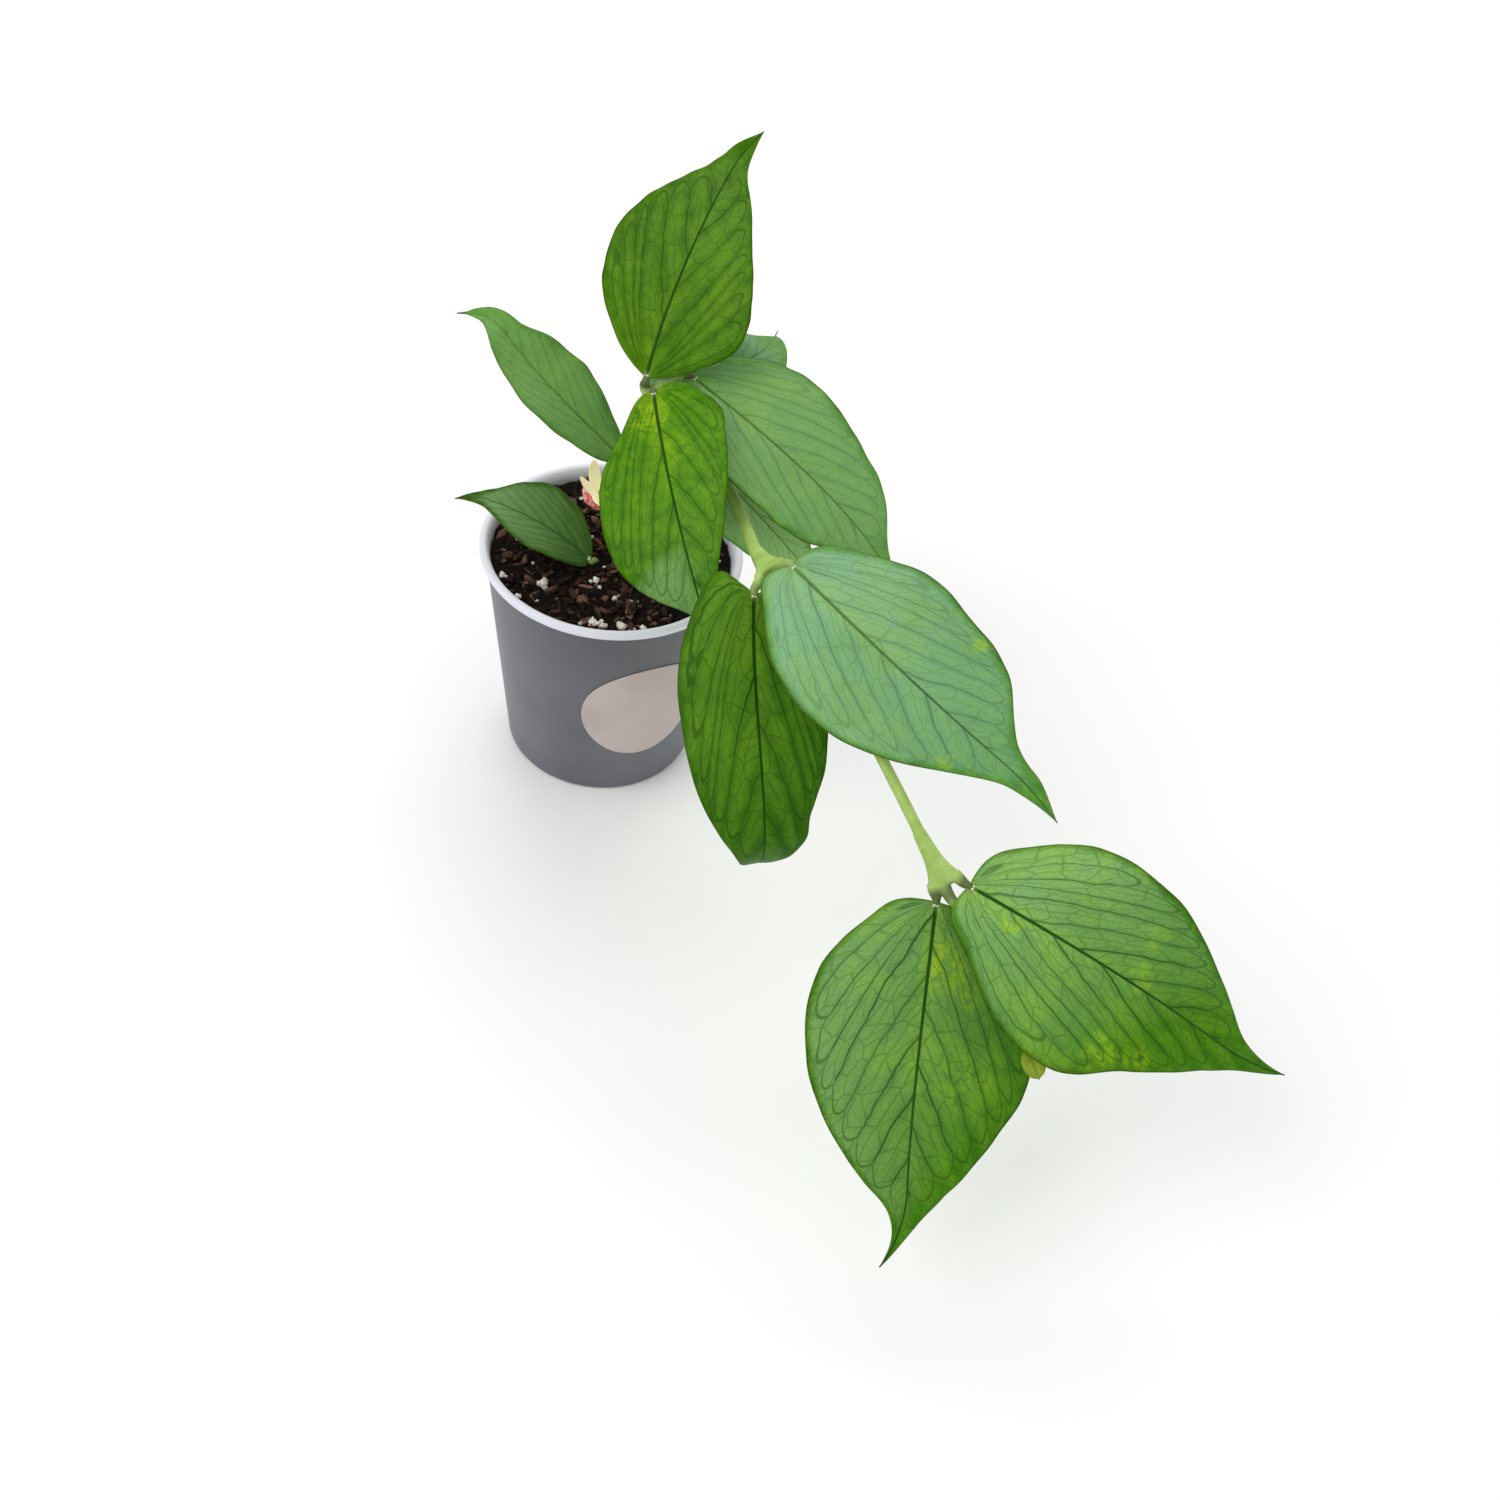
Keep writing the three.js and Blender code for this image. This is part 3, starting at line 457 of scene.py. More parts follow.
# Perlite clumps that lie in plain sight, as x, y and half size.
perlite_seen = np.array([[-35.8, -16.2, 1.3], [-22.1, -19, 2.1], [-8.5, 0.2, 1.4],
                         [-4.7, -15.9, 1.2], [-4.6, -36.1, 1.6], [-0.9, -36.6, 1.4],
                         [4.9, -36.4, 1.7], [12.2, -37.2, 1.4], [-23.4, 30.3, 1.3],
                         [2.1, -22.6, 1.1], [-29.7, -25.1, 1], [8.2, -38.9, 1.2]])
# Each grain is a clump: its main lump, and a few smaller ones that stick to its sides.
SMALL_CLUMPS = 22
SIDE_LUMPS = 3
draw = np.random.default_rng(5)
clump_spots = np.concatenate([perlite_seen[:, :2], scattered(SMALL_CLUMPS, 3.5, draw)])
clump_sizes = np.concatenate([perlite_seen[:, 2] * 0.95, draw.uniform(0.35, 0.85, SMALL_CLUMPS)])
side_shifts = draw.normal(0, 0.62, (len(clump_spots), SIDE_LUMPS, 2)) * clump_sizes[:, None, None]
perlite_spots = np.concatenate([clump_spots, (clump_spots[:, None] + side_shifts).reshape(-1, 2)])
side_sizes = np.repeat(clump_sizes, SIDE_LUMPS) * draw.uniform(0.45, 0.75, SIDE_LUMPS * len(clump_sizes))
grain_sizes = np.concatenate([clump_sizes, side_sizes])
perlite_halves = grain_sizes[:, None] * draw.uniform(0.7, 1.15, (len(grain_sizes), 3))
perlite_mesh = crumbs_mesh("perlite_grains", perlite_spots, perlite_halves, draw, 8, 6, 0.3, 0.2, 1.0)

perlite = Finish("perlite", IOR=1.4)
foam = perlite.noise(1300, 4, 0.7)
perlite_colour = perlite.mix(perlite.step(foam, 0.25, 0.7), srgb(0xBDB3A6), srgb(0xF6F2EA))
perlite.feed(perlite_colour, 0.75 + 0.2 * foam, foam, 0.3 * MM)
place_in_scene("perlite_grains", perlite_mesh, perlite.material)

# Leaves: each blade is waxy, a little fleshy and pointed, and folds up slightly from its midrib.
# Its base is drawn back round the stalk. Dark side veins fan out from the base and the midrib,
# join in loops near the margin, and hold a fine net between them.

# Each leaf says where it starts and ends, where its upper face looks, its width and its bends, in
# millimetres and degrees: arch and droop bow it, hook turns its tip down, bow moves the middle and
# swing the tip to the left, fold raises both halves, lean widens the left half, slant moves the
# left margin to the tip, lobe draws the base back, skew does so more on the left or, below 0, the
# right, widest is where along it is widest, blunt rounds its end, and edges moves the left and the
# right margin outwards at six places. ribs are how far forward a side vein runs for each
# millimetre out, how fast that grows, and the number of side veins. The colours are the blade's
# two greens, the painted sheen's colour and share with how fast it fades along the blade and to
# the left, the yellow's share, and the veins' darkness. The painted sheen is a grey-green painted
# reflection of light on the wax. patches are yellow spots and pale ones are spots of painted
# sheen: millimetres along and to the left, radius and share.
LEAVES = {
    "leaf_top": dict(
        base=(6.8, 9.7, 148.9), tip=(38.6, 69.3, 205.3), face=(-0.45, -0.8, 0.75), width=52.83,
        arch=3, hook=0.87, bow=3.28, swing=-3.34, fold=8,
        lean=-0.06, slant=0.22, lobe=-0.33, skew=-0.8, widest=0.38,
        edges=((0.6, 1.5, 0.5, -1.9, -1.5, 1.1), (0.9, 2.8, 0.2, -2.4, -0.3, 0.6)),
        ribs=(1.7, 2.5, 4.5), greens=(0x346400, 0x487A00), painted_sheen=(0xA4BE7C, 0.02, -6, 0),
        yellow=0.08, veins=0.8, gloss=0.05),
    "leaf_left": dict(
        base=(0.1, 15.4, 113.5), tip=(-55.5, 35.8, 149.5), face=(0.1, -0.2, 0.9), width=30.62,
        arch=4, hook=-12.39, bow=1.78, swing=2.96, fold=14, lean=0.08,
        slant=0.04, lobe=1.35, skew=0.12, widest=0.43, blunt=0.3,
        edges=((1, -0.7, -0.1, -0.9, 0.6, -1.7), (0.8, 0.1, 1, 0.3, -1.4, 1.1)),
        ribs=(1.5, 2, 8), greens=(0x447C1C, 0x58922C), painted_sheen=(0x7AA864, 0.6, 0.7, 0),
        yellow=0.1, veins=0.25),
    "leaf_low": dict(
        base=(-7.4, -7.6, 86.5), tip=(-52.4, -3.8, 105), face=(0.15, -0.2, 1), width=28.35,
        arch=5, bow=-1.46, swing=3.58, fold=12, lean=-0.04, slant=0.02, lobe=1.4, widest=0.4,
        edges=((0, 0, 0, 0, -0.7, 0.5), (0, 0, 0.9, -0.6, -0.5, 0.1)),
        ribs=(1.5, 2, 7), greens=(0x224E02, 0x325E0A), painted_sheen=(0x749A62, 0.3, -3, 0),
        yellow=0, veins=0.3, gloss=0.1),
    "leaf_centre": dict(
        base=(9.5, 2.9, 148.7), tip=(31.7, -64.3, 105.6), face=(-0.15, -0.4, 0.75), width=44.06,
        arch=14, hook=0.45, bow=-0.93, swing=-1.06, fold=4, lean=-0.04,
        slant=-0.49, lobe=3.09, widest=0.43,
        edges=((2, 1.7, -1.3, -1.8, -0.3, 1.5), (-1.7, 0.7, 0, 0, 0, -0.5)),
        ribs=(1.7, 4.5, 5), greens=(0x3A7200, 0x528A00), painted_sheen=(0xA0C88C, 0.012, -9, 0),
        yellow=0.22, veins=0.8, gloss=0.05,
        patches=((9, -3, 9, 0.5), (27, 5, 6, 0.2)), pale=((64, -10, 15, 0.4), (74, -2, 10, 0.4))),
    "leaf_right": dict(
        base=(21.5, 11.6, 149.9), tip=(92.9, -32.9, 108), face=(0, -0.3, 0.9), width=49,
        arch=8, droop=3, bow=-1.21, swing=-0.21, fold=6, lean=0.04,
        slant=-0.2, lobe=2.27, skew=-0.09, widest=0.34, blunt=0.24,
        edges=((-2.5, -0.1, -0.6, 0.8, 3.2, -0.9), (0.1, -0.8, -1.2, 0.8, -0.7, 0)),
        ribs=(1.6, 2.5, 7), greens=(0x427E1C, 0x56942C), painted_sheen=(0x76A468, 0.75, 0.2, 0),
        yellow=0.12, veins=0.42),
    "leaf_back": dict(
        base=(13.5, 21, 115.5), tip=(49.8, 43.7, 149.3), face=(0.1, -0.5, 0.9), width=38.5,
        arch=8, droop=10, hook=-3, bow=-2, swing=5.47, fold=8, lean=0.1, slant=-0.04, lobe=1.4, blunt=0.8,
        edges=((0.8, 0.4, 0, 0, 0, -2), (0, 0, 0, 0, 0.1, -0.6)),
        ribs=(1.5, 2, 8), greens=(0x4A8822, 0x609C34), painted_sheen=(0x7AA67C, 0.6, -0.6, 0),
        yellow=0, veins=0.3),
    "leaf_under": dict(
        base=(19.4, -1.8, 134.6), tip=(72.4, -37.2, 101.7), face=(0.45, -0.35, 0.8), width=35.23,
        arch=3, bow=-0.11, fold=8, lean=-0.2, slant=0.23, lobe=1.39,
        # These greens and this sheen are painted lighter than the blade's own colour: painted light for
        # the shade it lies in under the leaves above.
        ribs=(1.5, 2, 8), greens=(0x6AAC36, 0x7CBC48), painted_sheen=(0xB0D898, 0.85, 0, -0.3),
        yellow=0, veins=0.38),
    "leaf_front": dict(
        base=(42.3, -70.2, 133.4), tip=(50, -100.8, 48.1), face=(0.15, -0.9, 0.55), width=43.55,
        arch=10, droop=22, hook=-5, bow=-2.96, swing=-0.76, fold=4, lean=-0.06,
        slant=0.1, lobe=2.5, skew=-1.08, widest=0.3, blunt=0.42,
        edges=((-5, 0.6, -0.2, -1.6, 1.5, -0.3), (-0.3, 0.5, 0.1, -0.5, -1.6, -0.3)),
        ribs=(1.3, 6.5, 4), greens=(0x265A00, 0x386E00), painted_sheen=(0x5E902C, 0.4, 1.6, 0.2),
        yellow=0.08, veins=0.95, gloss=0.06),
    "leaf_broad": dict(
        base=(52.4, -64.8, 140.4), tip=(130.4, -132, 111.1), face=(-0.25, -0.3, 0.9), width=54.6,
        arch=5, hook=-1.51, bow=-1.62, swing=-2.88, fold=6, lean=-0.04, slant=0.16, lobe=2.27,
        edges=((0.5, 1.2, -1, 0.7, -2.8, 1), (-2, 0.2, 1.2, 0.3, -1.2, -0.2)),
        ribs=(1.6, 2.6, 7), greens=(0x3E7A20, 0x52902E), painted_sheen=(0x7CAC80, 0.92, 0.8, 0),
        yellow=0.12, veins=0.5,
        patches=((53, 21, 4, 0.6), (74, -12, 3, 0.6), (40, 6, 8, 0.15))),
    "leaf_end_left": dict(
        base=(97.1, -150.6, 95.5), tip=(87.7, -227.8, 29.2), face=(0, -0.6, 0.8), width=63.69,
        arch=4, hook=-2.88, bow=0.3, swing=-6.86, fold=6, lean=-0.04, slant=0.08, lobe=0.92, skew=-0.09,
        edges=((0, 0, 1.1, -0.9, 0.3, -0.5), (-1.2, 0.1, 0, 0.2, 0, -1.4)),
        ribs=(1.6, 1.6, 6), greens=(0x346E00, 0x487E00), painted_sheen=(0x709E58, 0.65, 0.9, 0.8),
        yellow=0.2, veins=0.9, gloss=0.1,
        patches=((17, 5, 9, 0.55), (23, 10, 6, 0.4), (21, 20, 6, 0.3), (47, 12, 12, 0.25))),
    "leaf_end_right": dict(
        base=(105.4, -148.8, 101.1), tip=(196.8, -187.9, 75.1), face=(-0.1, -0.35, 0.95), width=61.79,
        arch=5, hook=-0.92, bow=-1.15, swing=5.27, fold=6, lean=-0.04,
        slant=0.05, lobe=1.62, skew=-0.31, widest=0.36,
        edges=((0.1, 1.1, -0.3, -0.9, -0.4, -0.5), (-3, 1.1, 3, -2.1, -1, -0.6)),
        ribs=(1.7, 2.4, 7), greens=(0x326C00, 0x467C00), painted_sheen=(0x7CAC66, 0.78, 2.1, -0.35),
        yellow=0.2, veins=0.85, gloss=0.1,
        patches=((15, -3, 4, 0.7), (30, 14, 9, 0.25), (50, 14, 5, 0.35), (53, 3, 5, 0.35),
                 (53, -23, 7, 0.45), (63, -18, 6, 0.35), (33, -21, 5, 0.2))),
}

OUTLINE_PLACES = [0, 0.02, 0.05, 0.09, 0.16, 0.25, 0.36, 0.48, 0.6, 0.71, 0.79, 0.85, 0.91, 1]
OUTLINE_WIDTHS = [0, 0.24, 0.43, 0.58, 0.79, 0.94, 1, 0.95, 0.78, 0.53, 0.31, 0.17, 0.09, 0]
EDGE_PLACES = [0, 0.1, 0.25, 0.42, 0.6, 0.76, 0.9, 1]
OUTLINE_WIDEST = 0.36
BLUNT_END = 0.96
TIP_START = 0.78
BLADE_STEPS = 150
BLADE_ACROSS = 44
HALF_THICK = 0.34
GROOVE_DEPTH = 0.22
KEEL_HEIGHT = 0.5
QUILT_HEIGHT = 0.06

# Veins: how many fan out of the base on each side, how far in from the margin the loops and the
# small loops lie, the length of the two nets' cells, and a side vein's half width as a share of
# the way from one side vein to the next, for one side vein in all.
FAN_VEINS = 4.5
LOOPS_IN = 7.6
SMALL_LOOPS_IN = 2.6
NET_CELL = 7.0
FINE_CELL = 2.1
VEIN_HALF = 0.0066


def smooth_table(x, y, place):
    """A table's value at each place: a cubic between each pair of entries, whose slope at an entry
    is the harmonic mean of the slopes beside it, so that the curve never passes an entry."""
    x, y = np.array(x, float), np.array(y, float)
    slope = np.diff(y) / np.diff(x)
    product = slope[1:] * slope[:-1]
    middle = np.where(product > 0, 2 * product / (slope[1:] + slope[:-1] + 1e-12 * (product <= 0)), 0)
    bend = np.concatenate([[slope[0]], middle, [slope[-1]]])
    i = np.clip(np.searchsorted(x, place, "right") - 1, 0, len(x) - 2)
    run = x[i + 1] - x[i]
    t = (place - x[i]) / run
    held = (1 + 2 * t) * (1 - t) ** 2 * y[i] + t ** 2 * (3 - 2 * t) * y[i + 1]
    return held + run * (t * (1 - t) ** 2 * bend[i] - t ** 2 * (1 - t) * bend[i + 1])


def half_width(leaf, share):
    """The outline's half width. A blunt leaf swells towards a rounded end: the widest value times
    (1 - t^3)^0.6, where t runs from the widest place to just short of the tip."""
    place = share ** (np.log(OUTLINE_WIDEST) / np.log(leaf.get("widest", OUTLINE_WIDEST)))
    pointed = smooth_table(OUTLINE_PLACES, OUTLINE_WIDTHS, place)
    past = np.clip((place - OUTLINE_WIDEST) / (BLUNT_END - OUTLINE_WIDEST), 0, 1)
    before = smooth_table(OUTLINE_PLACES, OUTLINE_WIDTHS, np.minimum(place, OUTLINE_WIDEST))
    swollen = before * (1 - past ** 3) ** 0.6
    half = (pointed + leaf.get("blunt", 0) * np.maximum(0, swollen - pointed)) * leaf["width"] / 2
    return np.maximum(half, np.where(share < 0.5, 0.8, 0.2))


def edge_shift(leaf, share):
    """How much further out than the outline the left and the right margin run."""
    shifts = leaf.get("edges", [(0,) * 6] * 2)
    return [smooth_table(EDGE_PLACES, [0, *side, 0], share)[:, None] for side in shifts]


def unit(vectors):
    """Vectors of length one: each divided by its own length."""
    return vectors / np.linalg.norm(vectors, axis=-1, keepdims=True)


def square_to(direction, axis):
    """The part of a direction square to an axis, at length one."""
    return unit(direction - np.sum(direction * axis, -1, keepdims=True) * axis)


def blade_length(leaf):
    """The straight distance from the blade's base to its tip."""
    return float(np.linalg.norm(np.subtract(leaf["tip"], leaf["base"])))


def midrib(leaf, share):
    """The midrib's points, directions, upward normals and left directions. A point is base plus
    share times chord, lifted along the normal by arch 4s(1-s) + droop 27/4 s^2(1-s) + hook curl,
    and moved left by bow 4s(1-s) + swing curl, where curl is ((s - 0.78) / 0.22)^2 - s^3 and its
    square starts at 0.78."""
    base, tip = np.array(leaf["base"], float), np.array(leaf["tip"], float)
    chord = tip - base
    along = unit(chord)
    up = square_to(np.array(leaf["face"], float), along)
    left = np.cross(up, along)

    def place(s):
        """The midrib's points at each share of its length."""
        s = s[:, None]
        curl = np.clip((s - TIP_START) / (1 - TIP_START), 0, None) ** 2 - s ** 3
        middle, outer = 4 * s * (1 - s), 27 / 4 * s * s * (1 - s)
        lift = leaf.get("arch", 0) * middle + leaf.get("droop", 0) * outer + leaf.get("hook", 0) * curl
        aside = leaf.get("bow", 0) * middle + leaf.get("swing", 0) * curl
        return base + chord * s + up * lift + left * aside

    small = 0.004
    tangent = unit(place(np.minimum(share + small, 1)) - place(np.maximum(share - small, 0)))
    normal = square_to(up + 0 * tangent, tangent)
    return place(share), tangent, normal, np.cross(normal, tangent)


def larger(a, b):
    """The larger of two numbers, for arrays and shaders alike."""
    return a.math("MAXIMUM", b) if isinstance(a, Value) else np.maximum(a, b)


def smaller(a, b):
    """The smaller of two numbers, for arrays and shaders alike."""
    return a.math("MINIMUM", b) if isinstance(a, Value) else np.minimum(a, b)


def vein_count(along, from_rib, leaf, length):
    """How many side veins lie between the midrib's base and a point, for arrays and shaders alike.
    In millimetres, a side vein that leaves the midrib at m is at m + D where D = x (sweep + bend x)
    and x is the distance from the midrib. Below the first one, where the place along is less than
    D, veins fan out of the base itself, each at a fixed place / D."""
    sweep, bend, per_length = leaf["ribs"]
    drawn = from_rib * (sweep + from_rib * (bend / leaf["width"])) + 0.01
    past = larger(along * length - drawn, 0.0) * (per_length / length)
    in_fan = 1 - smaller(along * length / drawn, 1.0)
    return past - FAN_VEINS * in_fan


def blade_middle(leaf, phase, s, u):
    """The blade's middle surface, the way its upper side looks there, and the reach from the midrib
    to the margin. The surface is midrib + u reach left + fold, wave and ripple upwards + slant and
    lobe along it, where s runs along the blade and u across it, from -1 to 1."""
    place, tangent, normal, left = (v[:, None] for v in midrib(leaf, s[:, 0]))
    length = blade_length(leaf)
    half = half_width(leaf, s)
    out = np.abs(u)
    left_shift, right_shift = edge_shift(leaf, s[:, 0])
    reach = half * (1 + leaf.get("lean", 0) * np.sign(u)) + np.where(u > 0, left_shift, right_shift)
    reach = np.maximum(reach, 0.2)
    tilt = np.radians(leaf["fold"])
    size = min(1, leaf["width"] / 40)
    swell = np.sin(5 * np.pi * s + phase + np.where(u > 0, 0, 1.3)) * np.sqrt(np.sin(np.pi * s))
    wave = 0.7 * size * out ** 2 * swell
    ripple = 0.35 * size * out ** 3 * wander(s * length, 0 * u + np.sign(u) * 40, int(phase * 10), 5, 11)
    more_aside = 1 + np.maximum(0, leaf.get("skew", 0) * np.sign(u))
    lobe = leaf["lobe"] * s * np.exp(-s / 0.05) * length * out ** 1.3 * more_aside
    crease = np.sqrt((out * reach) ** 2 + 0.8) - np.sqrt(0.8)
    middle = (place + left * (u * reach * np.cos(tilt))[..., None]
              + normal * (crease * np.sin(tilt) + wave + ripple * np.sin(np.pi * s))[..., None]
              + tangent * (leaf.get("slant", 0) * u * half - lobe)[..., None])
    side = np.tanh(u * reach / 1.2)
    skyward = unit(normal * np.cos(tilt) - left * (side * np.sin(tilt))[..., None])
    return middle, skyward, reach, half


def blade_mesh(name, leaf, phase):
    """The blade as rings across it, over the upper face and back under the lower one. The faces lie
    off the middle surface by a thickness that thins to nothing at the margin, less a groove on top
    of the midrib, plus a keel below it, and with the blade quilted up between its side veins."""
    even = np.linspace(0, 1, BLADE_STEPS)
    s = (0.5 * even + 0.25 * (1 - np.cos(np.pi * even)))[:, None]
    even_across = np.linspace(-1, 1, BLADE_ACROSS + 1)
    u = np.sign(even_across) * np.abs(even_across) ** 1.25
    middle, skyward, reach, half = blade_middle(leaf, phase, s, u)
    out = np.abs(u)
    from_rib = out * reach
    veins = vein_count(s, from_rib, leaf, blade_length(leaf)) + np.where(u > 0, 0.5, 0)
    inner = np.clip(1.15 - out, 0, 0.4) / 0.4 * np.clip(from_rib / 2, 0, 1) * np.clip(half / 6, 0, 1)
    quilt = QUILT_HEIGHT * min(1, leaf["width"] / 40) * np.cos(2 * np.pi * veins) * inner
    thin = HALF_THICK * np.sqrt(np.clip(1 - out ** 7, 0, 1)) * (1 - 0.35 * s)
    groove = GROOVE_DEPTH * np.exp(-(from_rib / 0.7) ** 2) * (1 - s ** 2) * np.clip(s / 0.04, 0, 1)
    keel = KEEL_HEIGHT * np.exp(-(from_rib / 0.9) ** 2) * (1 - s)
    within = np.where(out < 1, 1.0, 0.0)
    upper = middle + skyward * ((thin - groove + quilt) * within)[..., None]
    lower = middle - skyward * ((thin + keel - quilt) * within)[..., None]
    rings = np.concatenate([upper, lower[:, -2:0:-1]], 1)
    mesh = mesh_of(name, rings.reshape(-1, 3), tube_faces(BLADE_STEPS, rings.shape[1]))

    def around(above, below=None):
        """Values on the upper face's points, then on the lower face's, in the rings' order."""
        above = np.broadcast_to(above, upper.shape[:2])
        below = above if below is None else np.broadcast_to(below, upper.shape[:2])
        return np.concatenate([above, below[:, -2:0:-1]], 1).ravel()

    flat = np.stack([around(s), around((u + 1) / 2)], -1)
    loops = np.zeros(len(mesh.loops), np.int32)
    mesh.loops.foreach_get("vertex_index", loops)
    mesh.uv_layers.new(name="blade").data.foreach_set("uv", flat[loops].ravel())
    note_on_points(mesh, "from_rib", around(from_rib))
    note_on_points(mesh, "underside", around(np.where(out < 1, 0.0, 0.3), 1.0))
    note_on_points(mesh, "from_edge", around(reach - from_rib))
    return mesh


def blade_place(look, leaf):
    """Where a point of the blade is: its shares along and across, its millimetres from the base,
    the midrib and the margin, which half it is on, and two noises about 0 that bend the veins."""
    along, across = look.parts(look.node("ShaderNodeUVMap", uv_map="blade"))[:2]
    return SimpleNamespace(
        along=along, across=across, from_base=along * blade_length(leaf),
        from_rib=look.noted("from_rib"), from_edge=look.noted("from_edge"),
        left_half=look.step(across, 0.4995, 0.5005),
        bend=look.noise(60, 2) - 0.5, shake=look.noise(190, 2) - 0.5)


def blade_loops(look, at, count, size, loops_from):
    """Lines that join the side veins near the margin: an arch from each side vein to the next, and
    outside them a row of small arches with spokes between them. An arch over a distance d from a
    vein, in counts, rises by d (1 - d)."""
    off_line = abs(count % 1 - 0.5)
    arch = 4 * off_line * (1 - off_line)
    to_arch = abs(at.from_edge + 1.6 * at.shake - loops_from + 4.4 * size * arch)
    arches = look.step(to_arch, 0.7, 0.2) * look.step(at.from_rib, 2.5, 5)
    off_small = abs((count * 2.3 + 3 * at.bend) % 1 - 0.5)
    small_arch = 6.4 * size * off_small * (1 - off_small)
    to_small = abs(at.from_edge + 1.2 * at.shake - SMALL_LOOPS_IN * size + small_arch)
    spokes = look.step(off_small, 0.07, 0.02) * look.step(at.from_edge, 2.0 * size, SMALL_LOOPS_IN * size)
    spokes = spokes * look.step(at.from_edge, loops_from, loops_from - 0.8)
    return larger(arches, larger(look.step(to_small, 0.36, 0.14), spokes) * 0.5)


def blade_veins(look, leaf, number, at):
    """Shares of vein at a point. Side veins are lines where the vein count passes a half, some
    fainter than others, as far as the loops. The nets are the edges of cells stretched along the
    side veins, with a weak vein midway between each two. The midrib narrows towards the tip."""
    per_length = leaf["ribs"][2]
    count = vein_count(at.along, at.from_rib + 1.5 * at.bend, leaf, blade_length(leaf))
    count = count + per_length * (0.1 * at.bend + 0.032 * at.shake) + 0.5 * at.left_half + 0.37 * number
    size = min(1.0, leaf["width"] / 55)
    loops_from = LOOPS_IN * size + 7 * at.bend

    off_line = abs(count % 1 - 0.5)
    to_margin = look.step(at.from_edge, loops_from - 0.5, loops_from + 0.8)
    pick = look.node("ShaderNodeTexWhiteNoise", {"W": count - count % 1 + 7 * at.left_half}, out="Value",
                     noise_dimensions="1D")
    vein_half = VEIN_HALF * per_length
    side = look.step(off_line, 1.4 * vein_half, 0.5 * vein_half) * to_margin * (0.65 + 0.35 * pick)
    loops = blade_loops(look, at, count, size, loops_from)

    midway = look.step(abs((count + 0.5) % 1 - 0.5), 0.05, 0.01)
    midway = midway * look.step(at.from_rib - at.from_edge, 2, -9)
    net_edge = look.to_cell_edge(count * 1.7, at.from_base / NET_CELL + 0.5 * at.bend)
    net = larger(look.step(net_edge, 0.06, 0.015), midway)
    fine_edge = look.to_cell_edge(count * 4.2, at.from_base / FINE_CELL + 0.5 * at.shake)
    fine = look.step(fine_edge, 0.14, 0.03)
    rib_half = 0.62 - 0.42 * at.along
    # between lightens the blade midway from one side vein to the next, and beside darkens a broad band
    # along each side vein: a painted highlight and painted shade for the quilting.
    return SimpleNamespace(
        side=side, loops=loops, net=net, fine=fine,
        all=larger(larger(side, loops * 0.7), larger(net * 0.42, fine * 0.18)),
        rib=look.step(at.from_rib, rib_half * 1.35, rib_half * 0.6),
        between=look.step(off_line, 0.1, 0.4), beside=look.step(off_line, 0.3, 0.02) * to_margin)


def spotted(look, at, spots):
    """The share of a spot's colour at a point: each spot fades from its middle to its radius."""
    aside = at.from_rib * (2 * at.left_half - 1) + 9 * at.shake
    share = 0.0
    for spot_along, spot_aside, radius, most in spots:
        ahead, beside = at.from_base - spot_along, aside - spot_aside
        spot = look.step(ahead * ahead + beside * beside, radius ** 2, 0.1 * radius ** 2)
        share = larger(spot * most, share)
    return share


def blade_green(look, leaf, at, veins, mottle):
    """The upper side: two greens in small patches, then a grey-green painted sheen of reflected light,
    the yellow spots and halo round the midrib, a painted highlight between the side veins and
    painted shade beside them, the dark veins, a brownish rim and a pale base."""
    broad = look.noise(42, 2)
    first, second = (srgb(code) for code in leaf["greens"])
    green = look.mix(look.step(mottle + 0.5 * (broad - 0.5), 0.3, 0.7), first, second)
    # The grey-green sheen is a painted reflection of light on the wax: it fades along the blade and to one
    # side, stays off the tip and the margin, and adds pale spots.
    sheen_colour, sheen_share, fade_along, fade_left = leaf["painted_sheen"]
    fade = 1 - fade_along * (at.along - 0.2) - fade_left * (at.across * 2 - 1)
    painted_sheen = sheen_share * larger(fade, 0.0) * (0.7 + 0.3 * look.step(broad, 0.2, 0.5))
    painted_sheen = painted_sheen * look.step(at.along, 0.94, 0.78)
    painted_sheen = painted_sheen * look.step(at.from_edge + 3 * at.bend, 0.2, 3.0)
    painted_sheen = larger(painted_sheen, spotted(look, at, leaf.get("pale", ())))
    green = look.mix(smaller(painted_sheen, 1.0), green, srgb(sheen_colour))

    yellow = leaf["yellow"] * look.step(look.noise(60, 3), 0.48, 0.66) * look.step(at.along, 0.85, 0.3)
    ragged = look.step(look.noise(330, 4, 0.7), 0.38, 0.6)
    yellow = larger(yellow, spotted(look, at, leaf.get("patches", ())) * ragged)
    halo = leaf["yellow"] * look.step(at.from_rib, 5.0, 0.8) * look.step(at.along, 0.65, 0.12)
    green = look.mix(smaller(yellow + halo, 1.0), green, srgb(0x9CC414))

    strength = leaf["veins"]
    dark = look.mix(0.5, tuple(0.5 * c for c in first), srgb(0x1E4A14))
    # Painted highlight between the side veins, then painted shade beside them.
    green = look.mix(veins.between * 0.1, green, srgb(0x8CC03C))
    green = look.mix(veins.beside * 0.1 * strength, green, dark)
    green = look.mix(veins.all * strength, green, dark)
    green = look.mix(veins.rib * min(1, strength + 0.2), green, dark)
    green = look.mix(look.step(at.from_edge, 0.7, 0.15) * 0.4, green, srgb(0x4A5A20))
    pale_base = look.step(at.along, 0.035, 0.0) * look.step(at.from_rib, 2.2, 0.6)
    return look.mix(pale_base * 0.6, green, srgb(0x9DB86A))


